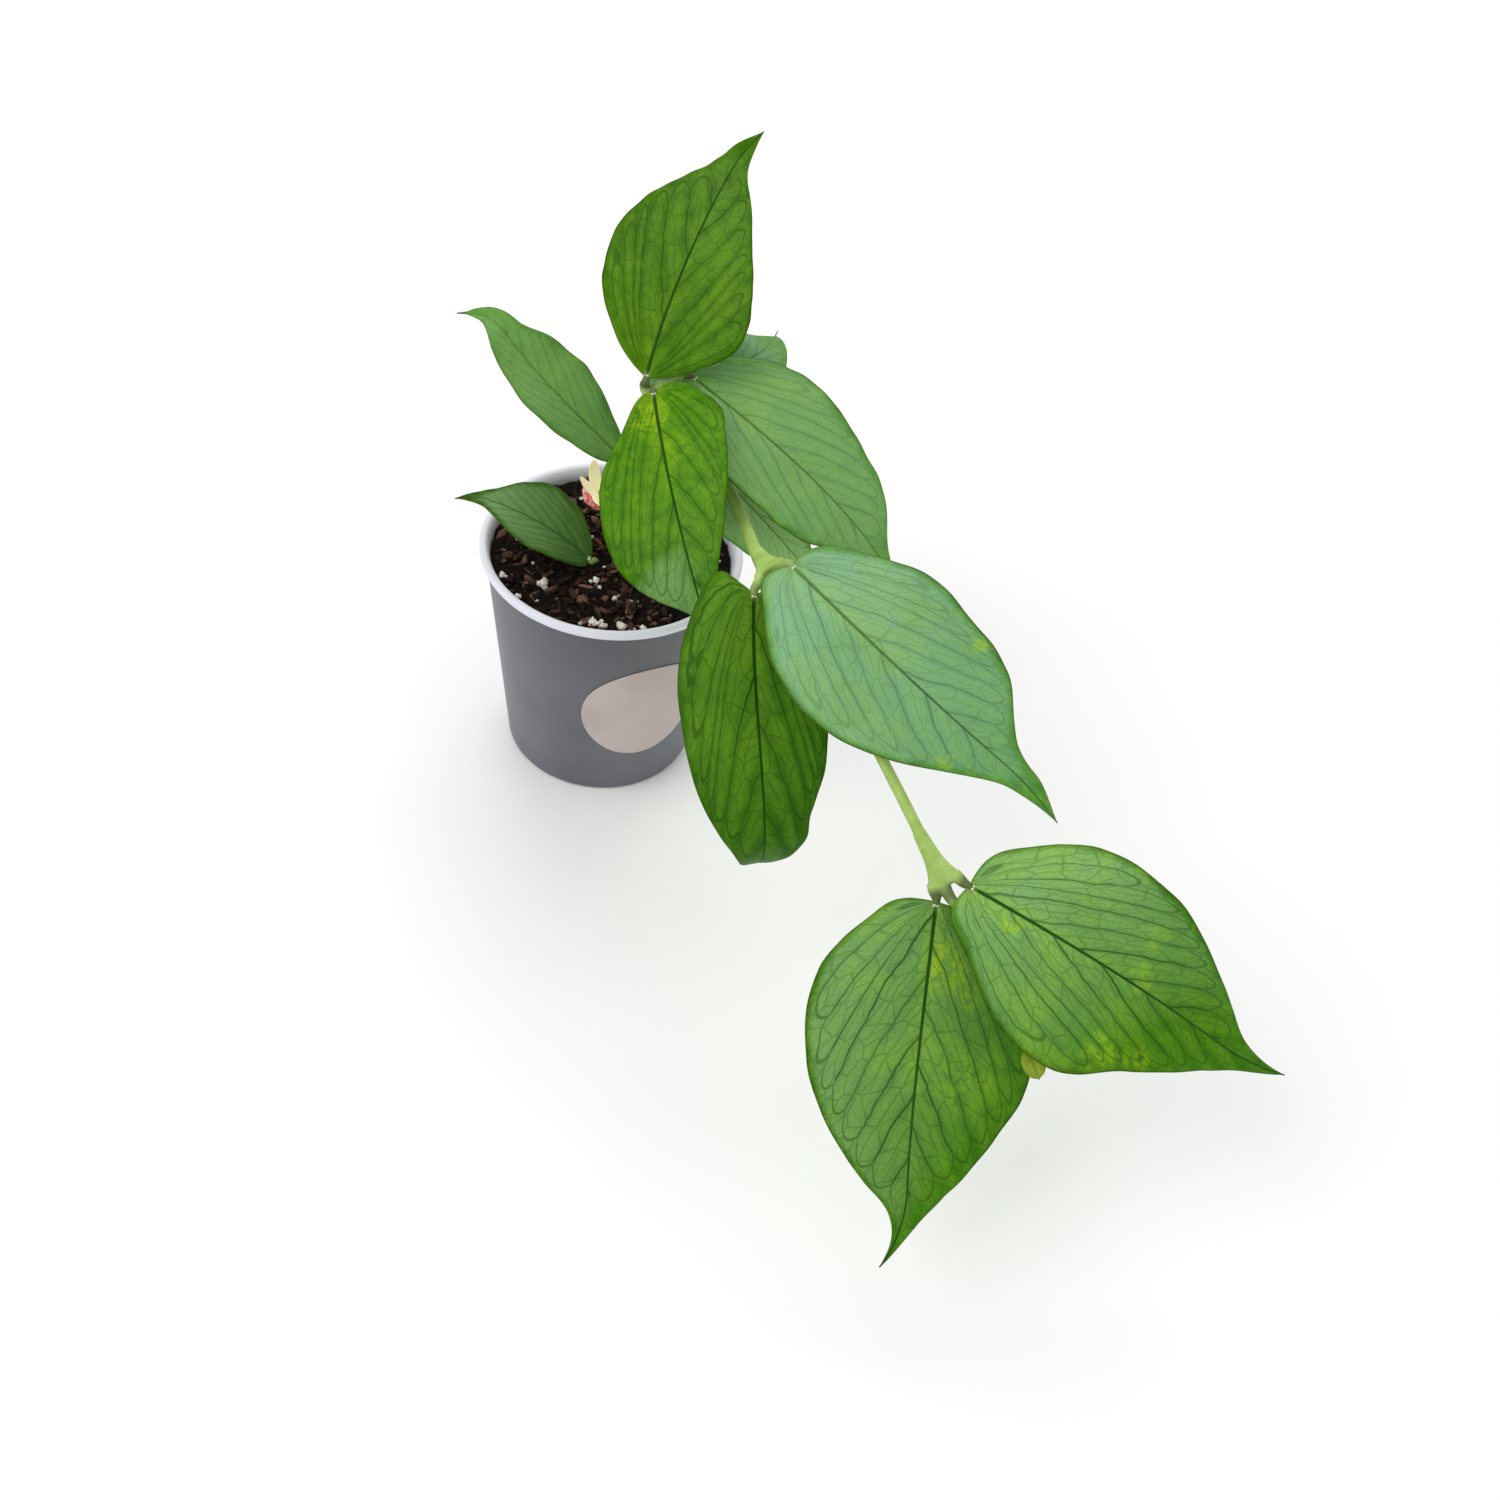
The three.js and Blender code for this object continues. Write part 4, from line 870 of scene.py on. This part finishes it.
def blade_finish(name, leaf, number):
    """The blade's wax, drawn from the blade's own coordinates: green and veined above, paler and
    plainer below, with the veins pressed into it."""
    look = Finish(name, IOR=1.46, Specular_IOR_Level=leaf.get("gloss", 0.25))
    at = blade_place(look, leaf)
    veins = blade_veins(look, leaf, number, at)
    mottle = look.noise(230, 4, 0.6)
    green = blade_green(look, leaf, at, veins, mottle)
    belly = look.mix(look.step(mottle, 0.3, 0.7), srgb(0x86A864), srgb(0x97B674))
    belly = look.mix(larger(veins.side, veins.net * 0.35) * 0.35, belly, srgb(0x5E8A3E))
    belly = look.mix(veins.rib * 0.7, belly, srgb(0xB4CB86))
    under = look.noted("underside")
    colour = look.mix(look.step(under, 0.35, 0.65), green, belly)
    roughness = 0.4 + 0.16 * mottle + 0.12 * under - 0.05 * veins.all
    pressed = larger(veins.side, larger(veins.loops, veins.net * 0.55))
    height = 0.5 - 0.5 * pressed - 0.14 * veins.fine + 0.12 * look.noise(2600, 2)
    return look.feed(colour, roughness, height, 0.22 * MM, 0.9)


NEXT_LEAF_PHASE = 1.9
for number, (name, leaf) in enumerate(LEAVES.items()):
    blade = blade_mesh(name + "_blade", leaf, NEXT_LEAF_PHASE * number)
    place_in_scene(name + "_blade", blade, blade_finish(name + "_wax", leaf, number), [name])

# Young leaf: the small folded blade at the growing end, still thin and yellow-green. It is made
# as the other leaves are, and the vine's shoot carries it.

young = dict(
    base=(121, -189.6, 83), tip=(124.4, -196.6, 79.8), face=(-0.1, -0.3, 0.95), width=6.5,
    arch=0.6, fold=12, lobe=0.6, blunt=1,
    ribs=(1.5, 2, 6), greens=(0x96AC24, 0xB4BC40), painted_sheen=(0xC9CC6A, 0.2, 0, 0), yellow=0.1, veins=0.2)
young_blade = blade_mesh("leaf_young_blade", young, NEXT_LEAF_PHASE * len(LEAVES))
young_wax = blade_finish("young_wax", young, 20)
place_in_scene("leaf_young_blade", young_blade, young_wax, ["leaf_young"])

# Vine: one smooth green stem from the soil to the last pair of leaves. At each node it flattens
# into a wedge that forks into two round leaf stalks, and it goes on past the last node as a thin
# young shoot. The flower's stalk comes from the first node.

VINE_LINE = [
    (5.5, 8, 69, 2.1), (6, 9, 82, 2.1), (8.5, 12.5, 97, 2.1), (6.5, 15.5, 112, 2.2),
    (8, 13.5, 130, 2.0), (8.5, 10.5, 142, 2.1), (12, 10.5, 146, 2.0), (19, 9, 144, 2.1),
    (28, -4, 135, 2.0), (35.8, -19, 129.8, 2.0), (39.8, -31.3, 128.6, 2.0), (42.7, -43.4, 129.2, 2.0),
    (46.2, -57, 130.2, 2.0), (57, -77.5, 130.4, 1.8), (70, -101, 125, 1.7), (81.5, -117, 114, 1.65),
    (91, -133, 106, 1.7), (98.5, -147, 99.5, 1.7),
]
SHOOT_LINE = [(98.5, -146.5, 99, 2), (100.8, -151.3, 97.9, 1.6), (104.2, -155.8, 97.5, 1.1),
              (111, -166.5, 92.4, 0.9)]
NODES = [
    ((7.6, 14, 105), (6.5, 15.5, 112), "leaf_left", "leaf_back"),
    ((8.2, 12, 138.5), (8.1, 8, 144.7), "leaf_top", "leaf_centre"),
    ((13.5, 10.5, 146), (19, 10, 147.3), "leaf_right", "leaf_under"),
    ((43, -45.4, 129.5), (47.1, -64.1, 136.7), "leaf_front", "leaf_broad"),
    ((91.5, -134, 105.5), (99.8, -147.7, 99.2), "leaf_end_left", "leaf_end_right"),
]
ACROSS = np.array([0.8, 0.5, 0.3])
WEDGE_HALF = 5.8
LEAF_STALK_HALF = 1.8
STALK_INSIDE = 2.5
FLOWER_CENTRE = np.array([-5.8, 11.8, 99.9])
FLOWER_FACE = unit(np.array([-0.5, 0.125, -0.857]))


def smooth_line(stops, count):
    """Points and directions along a centripetal Catmull-Rom curve: between two stops a cubic whose
    end slopes come from the neighbouring stops, each step weighed by the root of its length."""
    stops = np.asarray(stops, float)
    ends = np.concatenate([[2 * stops[0] - stops[1]], stops, [2 * stops[-1] - stops[-2]]])
    gap = np.maximum(np.linalg.norm(np.diff(ends[:, :3], axis=0), axis=1) ** 0.5, 1e-4)[:, None]
    way = np.linspace(0, len(stops) - 1, count)
    i = np.minimum(way.astype(int), len(stops) - 2)
    t = (way - i)[:, None]
    before, start, end, after = ends[i], ends[i + 1], ends[i + 2], ends[i + 3]
    d0, d1, d2 = gap[i], gap[i + 1], gap[i + 2]
    slope_start = ((start - before) / d0 - (end - before) / (d0 + d1) + (end - start) / d1) * d1
    slope_end = ((end - start) / d1 - (after - start) / (d1 + d2) + (after - end) / d2) * d1
    line = ((1 + 2 * t) * (1 - t) ** 2 * start + t ** 2 * (3 - 2 * t) * end
            + t * (1 - t) ** 2 * slope_start - t ** 2 * (1 - t) * slope_end)
    return line, unit(np.gradient(line[:, :3], axis=0))


def stalk(stops, across, rings_count, sides=20):
    """Points of oval rings along a smooth line through stops of x, y, z, half width and half
    thickness: middle + side wide cos a + top thick sin a."""
    stops = [(*stop, stop[3]) if len(stop) == 4 else stop for stop in stops]
    line, tangent = smooth_line(stops, rings_count)
    side = square_to(across + 0 * tangent, tangent)
    top = np.cross(tangent, side)
    angle = np.linspace(0, 2 * np.pi, sides, endpoint=False)[:, None]
    wide, thick = line[:, None, 3:4], line[:, None, 4:5]
    return line[:, None, :3] + side[:, None] * wide * np.cos(angle) + top[:, None] * thick * np.sin(angle)


def leaf_stalk(corner, start, leaf):
    """A leaf's stalk: from its corner of the wedge's end, where it heads away from the wedge's
    start, it turns into line with the midrib and runs a little into the blade."""
    place, tangent, _, left = midrib(leaf, np.array([0.0]))
    inside = corner - STALK_INSIDE * unit(corner - start)
    stops = [(*inside, LEAF_STALK_HALF, 1.3), (*corner, LEAF_STALK_HALF, 1.3),
             (*(place[0] - 0.8 * tangent[0]), 1.35, 1.2), (*(place[0] + 1.6 * tangent[0]), 0.9, 0.6)]
    return stalk(stops, left[0], 40)


def forked_node(start, end, first, second):
    """The wedge that the stem flattens into, with a slight waist, and the two leaf stalks from the
    corners of its end."""
    start, end = np.array(start), np.array(end)
    across = unit(np.subtract(second["base"], first["base"]))
    middle = start + 0.6 * (end - start)
    wedge = stalk([(*start, 1.9, 1.9), (*middle, 3.1, 1.75), (*end, WEDGE_HALF, 1.6)], across, 60)
    reach = (WEDGE_HALF - LEAF_STALK_HALF) * across
    return [wedge, leaf_stalk(end - reach, start, first), leaf_stalk(end + reach, start, second)]


def stem_mesh(name, limbs, voxel):
    """One skin round limbs that run into each other: their rings are remeshed together in cells of
    a set size in metres, then smoothed so that the joins flow."""
    points, faces, first = [], [], 0
    for limb in limbs:
        faces += tube_faces(limb.shape[0], limb.shape[1], first)
        points.append(limb.reshape(-1, 3))
        first += limb.shape[0] * limb.shape[1]
    rough = into_scene(name, mesh_of(name, np.concatenate(points), faces))
    skin = rough.modifiers.new("skin", "REMESH")
    skin.mode, skin.voxel_size = "VOXEL", voxel
    soften = rough.modifiers.new("soften", "SMOOTH")
    soften.factor, soften.iterations = 0.5, 10
    mesh = finished(rough).data
    bpy.data.objects.remove(rough)
    return mesh


vine_limbs = [stalk(VINE_LINE, ACROSS, 260), stalk(SHOOT_LINE, ACROSS, 40)]
for start, end, first, second in NODES:
    vine_limbs += forked_node(start, end, LEAVES[first], LEAVES[second])
young_place, young_tangent, _, _ = midrib(young, np.array([0.0]))
vine_limbs.append(stalk([SHOOT_LINE[-1], (*(young_place[0] - 1.2 * young_tangent[0]), 0.9),
                         (*(young_place[0] + young_tangent[0]), 0.6)], ACROSS, 20))
flower_bend = [(6.5, 15.5, 112, 0.75), (0.5, 12.6, 109.4, 0.75),
               (*(FLOWER_CENTRE - 4.7 * FLOWER_FACE), 0.7), (*(FLOWER_CENTRE - 0.3 * FLOWER_FACE), 0.85)]
vine_limbs.append(stalk(flower_bend, ACROSS, 50))
vine_mesh = stem_mesh("vine", vine_limbs, 0.27 * MM)

# The skin is darker near the joints under the blades and at the forks, by each joint's darkness: partly
# the joints' own darker colour, partly painted shade under the blades and in the forks.
PALE_JOINTS = {"leaf_front": 0.4, "leaf_broad": 0.4}
FORK_DARKNESS = 0.9
JOINT_REACH = 4.4
JOINT_FADE = 2.0
joints = [leaf["base"] for leaf in LEAVES.values()]
darkness = [PALE_JOINTS.get(name, 1.0) for name in LEAVES]
for _, _, first, second in NODES:
    joints.append(np.add(LEAVES[first]["base"], LEAVES[second]["base"]) / 2)
    darkness.append(FORK_DARKNESS)
vine_points = np.zeros(3 * len(vine_mesh.vertices))
vine_mesh.vertices.foreach_get("co", vine_points)
vine_points = vine_points.reshape(-1, 3) / MM
to_joint = np.linalg.norm(vine_points[:, None] - np.array(joints, float)[None], axis=2)
near_joint = np.clip((JOINT_REACH - to_joint) / JOINT_FADE, 0, 1)
note_on_points(vine_mesh, "joint_shade", np.max(np.array(darkness) * near_joint, axis=1))


def stem_finish(name):
    """Pale green skin with long streaks, faint freckles and darker joints under the blades, darkened
    partly by their own colour and partly by painted shade.
    """
    look = Finish(name, IOR=1.45)
    streak = look.noise(160, 4, 0.6)
    freckle = look.noise(1500, 2)
    height = look.parts(look.object)[2] / MM
    colour = look.mix(look.step(streak, 0.3, 0.7), srgb(0x8CAC48), srgb(0xA4C268))
    colour = look.mix(look.step(height, 108, 78) * 0.65, colour, srgb(0x6E7A3C))
    colour = look.mix(look.noted("joint_shade") * 0.85, colour, srgb(0x3E4A22))
    colour = look.mix(look.step(freckle, 0.66, 0.74) * 0.25, colour, srgb(0x7F8F4C))
    return look.feed(colour, 0.42 + 0.15 * streak, 0.6 * streak + 0.2 * freckle, 0.12 * MM)


place_in_scene("vine", vine_mesh, stem_finish("vine_skin"), ["vine_stem"])

# Side stem: a short thin stem of its own beside the vine, which carries the one low leaf. It
# stands in the soil as the vine does and has the same skin.

low_place, low_tangent, _, _ = midrib(LEAVES["leaf_low"], np.array([0.0]))
side_line = [(-1.2, -1.2, 69, 1.3), (-4.6, -4.4, 82, 1.3), (-5.8, -5.6, 84.8, 1.2),
             (*(low_place[0] - 0.8 * low_tangent[0]), 0.95), (*(low_place[0] + 1.0 * low_tangent[0]), 0.6)]
side_mesh = stem_mesh("side_shoot", [stalk(side_line, ACROSS, 60)], 0.2 * MM)
place_in_scene("side_shoot", side_mesh, stem_finish("side_skin"), ["side_stem"])

# Glands: two small whitish beads on top of each leaf's midrib, where the blade meets its stalk.
# They grow from the waxy skin and have a dusty face.

BEAD_RINGS = 7
BEAD_SIDES = 10
BEAD_SHARE = 0.012
bead_points, bead_faces = [], []
ball = lump_points(BEAD_SIDES, BEAD_RINGS)
for name, leaf in LEAVES.items():
    place, _, normal, left = (v[0] for v in midrib(leaf, np.array([BEAD_SHARE])))
    for shift, radius in ((-0.45, 0.42), (0.4, 0.36)):
        middle = place + left * shift + normal * 0.5
        bead_faces += tube_faces(BEAD_RINGS, BEAD_SIDES, len(bead_points) * len(ball))
        bead_points.append(ball * radius * [1, 1, 0.8] + middle)
bead_mesh = mesh_of("glands", np.concatenate(bead_points), bead_faces)
bead = Finish("gland", IOR=1.45)
dust = bead.noise(1800, 3)
bead_colour = bead.mix(bead.step(dust, 0.3, 0.7), srgb(0xC9D2B4), srgb(0xEEF2E2))
bead.feed(bead_colour, 0.5 + 0.2 * dust, dust, 0.05 * MM)
place_in_scene("glands", bead_mesh, bead.material)

# Flower: cream petals grown together into a five-pointed star, which bends back from its face,
# and the waxy pink corona of five ruffled lumps on that face. It hangs and looks down.

FLOWER_LOBE = square_to(np.array([-0.84, -0.3, 0.45]), FLOWER_FACE)
FLOWER_SIDE = np.cross(FLOWER_FACE, FLOWER_LOBE)
# Beads of one of the corona's five lumps: way out, way aside, height over the face and radius.
CORONA_BEADS = [(0.8, 0, 2.4, 2.0), (2.8, 0, 2.4, 1.7), (4.2, 1.3, 1.9, 1.0), (4.2, -1.3, 1.9, 1.0),
                (5.0, 0.3, 1.7, 0.8), (3.6, 2.3, 1.9, 0.9), (3.6, -2.3, 1.9, 0.9), (3.3, 0.7, 3.3, 0.8),
                (2.6, -1.0, 3.2, 0.8)]


def on_flower(x, y, z):
    """A point by its place along one petal, beside it, and out of the face."""
    return (FLOWER_CENTRE + x[..., None] * FLOWER_LOBE + y[..., None] * FLOWER_SIDE
            + z[..., None] * FLOWER_FACE)


PETALS = 5
STAR_TURNS = 200
STAR_NOTCH = 4.8
STAR_POINT = 10.4
STAR_BENT_BACK = 4.6
PETAL_HALF_THICK = 0.38
# The star's edge is at notch + (point - notch) |cos 5a/2|^1.6. Its face bends back by the square of
# the share of the way out, with a low ridge between the petals.
star_angle = np.linspace(0, 2 * np.pi, STAR_TURNS, endpoint=False)
point_share = np.abs(np.cos(PETALS / 2 * star_angle)) ** 1.6
star_edge = STAR_NOTCH + (STAR_POINT - STAR_NOTCH) * point_share
up_shares = np.concatenate([[0.003], np.linspace(0.04, 0.97, 26), [0.993]])
star_share = np.concatenate([up_shares, [1.0], up_shares[::-1]])[:, None]
star_face = np.sign(np.linspace(1, -1, len(star_share)))[:, None]
radius = star_share * star_edge
half_thick = PETAL_HALF_THICK * np.sqrt(np.clip(1 - star_share ** 6, 0, 1)) * star_face
bend_back = STAR_BENT_BACK * (radius / STAR_POINT) ** 2
ridge = 0.35 * star_share * (0.5 - point_share) * (1 - star_share ** 2)
star_points = on_flower(radius * np.cos(star_angle), radius * np.sin(star_angle),
                        half_thick - bend_back + ridge)
star_mesh = mesh_of("corolla", star_points.reshape(-1, 3), tube_faces(len(star_share), STAR_TURNS))
cream = Finish("petal_cream", Subsurface_Weight=0.5, Specular_IOR_Level=0.2)
cream.shader.inputs["Subsurface Radius"].default_value = (1.2 * MM, 0.9 * MM, 0.5 * MM)
# The petals glow faintly in cream: painted light that brightens them in the shade of the leaves.
cream.shader.inputs["Emission Color"].default_value = (*srgb(0xFFE3B0), 1)
cream.shader.inputs["Emission Strength"].default_value = 0.22
down = cream.noise(2200, 3, 0.7)
wash = cream.noise(240, 3)
cream_colour = cream.mix(cream.step(wash, 0.3, 0.7), srgb(0xFBE7B4), srgb(0xFFF4D6))
cream.feed(cream_colour, 0.6 + 0.2 * down, down, 0.08 * MM)
place_in_scene("corolla", star_mesh, cream.material, ["petals"])

CORONA_RINGS = 9
CORONA_SIDES = 12
CORONA_RISE = 1.15
corona_limbs = []
for lump in range(PETALS):
    angle = 2 * np.pi * (lump + 0.5) / PETALS
    for reach_out, spread, rise, size in CORONA_BEADS:
        x = reach_out * np.cos(angle) - spread * np.sin(angle)
        y = reach_out * np.sin(angle) + spread * np.cos(angle)
        ball = lump_points(CORONA_SIDES, CORONA_RINGS) * [size, size, 0.95 * size]
        ball = ball + [x, y, CORONA_RISE * rise]
        corona_limbs.append(on_flower(*ball.T).reshape(CORONA_RINGS, CORONA_SIDES, 3))
corona_mesh = stem_mesh("corona_ruffle", corona_limbs, 0.18 * MM)
pink = Finish("corona_wax", IOR=1.45)
blush = pink.noise(420, 3)
pink_colour = pink.mix(pink.step(blush, 0.35, 0.65), srgb(0xC8555F), srgb(0xEBA3A2))
pink.feed(pink_colour, 0.4 + 0.2 * blush, blush, 0.3 * MM)
place_in_scene("corona_ruffle", corona_mesh, pink.material, ["corona"])

# Floor, lights and camera: a plain pale floor, broad soft lamps over and behind the plant that
# light the leaves and add some real reflected light to the sheen painted into their colour, and a
# camera looking down over the rim.

FLOOR_HALF = 6
corners = [(x * FLOOR_HALF, y * FLOOR_HALF, 0) for x, y in ((-1, -1), (1, -1), (1, 1), (-1, 1))]
floor_mesh = bpy.data.meshes.new("floor")
floor_mesh.from_pydata(corners, [], [(0, 1, 2, 3)])
floor = into_scene("floor", floor_mesh)
pale = Finish("floor_paint", Roughness=0.9)
pale.feed(pale.mix(pale.step(pale.noise(3, 2), 0.3, 0.7), (0.9, 0.9, 0.9), (0.92, 0.92, 0.92)))
floor_mesh.materials.append(pale.material)


def stand_at(thing, spot, right, up, back):
    """Stands a lamp or the camera at a spot in metres, its X, Y and Z along three directions."""
    turned_and_moved = np.eye(4)
    turned_and_moved[:3] = np.stack([right, up, back, spot], 1)
    thing.matrix_world = Matrix(turned_and_moved.tolist())


def soft_lamp(name, spot, size, power):
    """A square lamp of a given size in metres and power in watts, turned to face the plant."""
    lamp = into_scene(name, bpy.data.lights.new(name, "AREA"))
    lamp.data.energy, lamp.data.size = power, size
    away = unit(np.subtract(spot, PLANT_MIDDLE))
    side = unit(np.cross((0, 0, 1), away))
    stand_at(lamp, spot, side, np.cross(away, side), away)


PLANT_MIDDLE = (0.05, -0.06, 0.1)
soft_lamp("sky_behind", (0.1, 1.1, 1.1), 1.5, 10)
soft_lamp("over_left", (-0.9, -0.5, 1.2), 1.0, 9)
soft_lamp("fill_right", (1.2, -0.9, 0.7), 1.2, 3)

bpy.context.scene.view_settings.view_transform = "Standard"
world = bpy.data.worlds.new("studio")
world.use_nodes = True
world.node_tree.nodes["Background"].inputs["Color"].default_value = (1, 1, 1, 1)
world.node_tree.nodes["Background"].inputs["Strength"].default_value = 0.7
bpy.context.scene.world = world

CAMERA_PLACE = np.array([0, -0.424, 0.446])
CAMERA_PITCH, CAMERA_YAW, CAMERA_ROLL = np.radians([46.8, 7.9, 9.9])
SENSOR_WIDTH = 36
LENS = 38.6
forward = np.array([np.sin(CAMERA_YAW) * np.cos(CAMERA_PITCH),
                    np.cos(CAMERA_YAW) * np.cos(CAMERA_PITCH), -np.sin(CAMERA_PITCH)])
level = np.array([np.cos(CAMERA_YAW), -np.sin(CAMERA_YAW), 0])
raised = np.cross(level, forward)
right = np.cos(CAMERA_ROLL) * level + np.sin(CAMERA_ROLL) * raised
camera_up = np.cos(CAMERA_ROLL) * raised - np.sin(CAMERA_ROLL) * level
camera = into_scene("camera", bpy.data.cameras.new("camera"))
camera.data.sensor_width = SENSOR_WIDTH
camera.data.lens = LENS
camera.data.clip_start, camera.data.clip_end = 0.01, 50
stand_at(camera, CAMERA_PLACE, right, camera_up, -forward)
bpy.context.scene.camera = camera
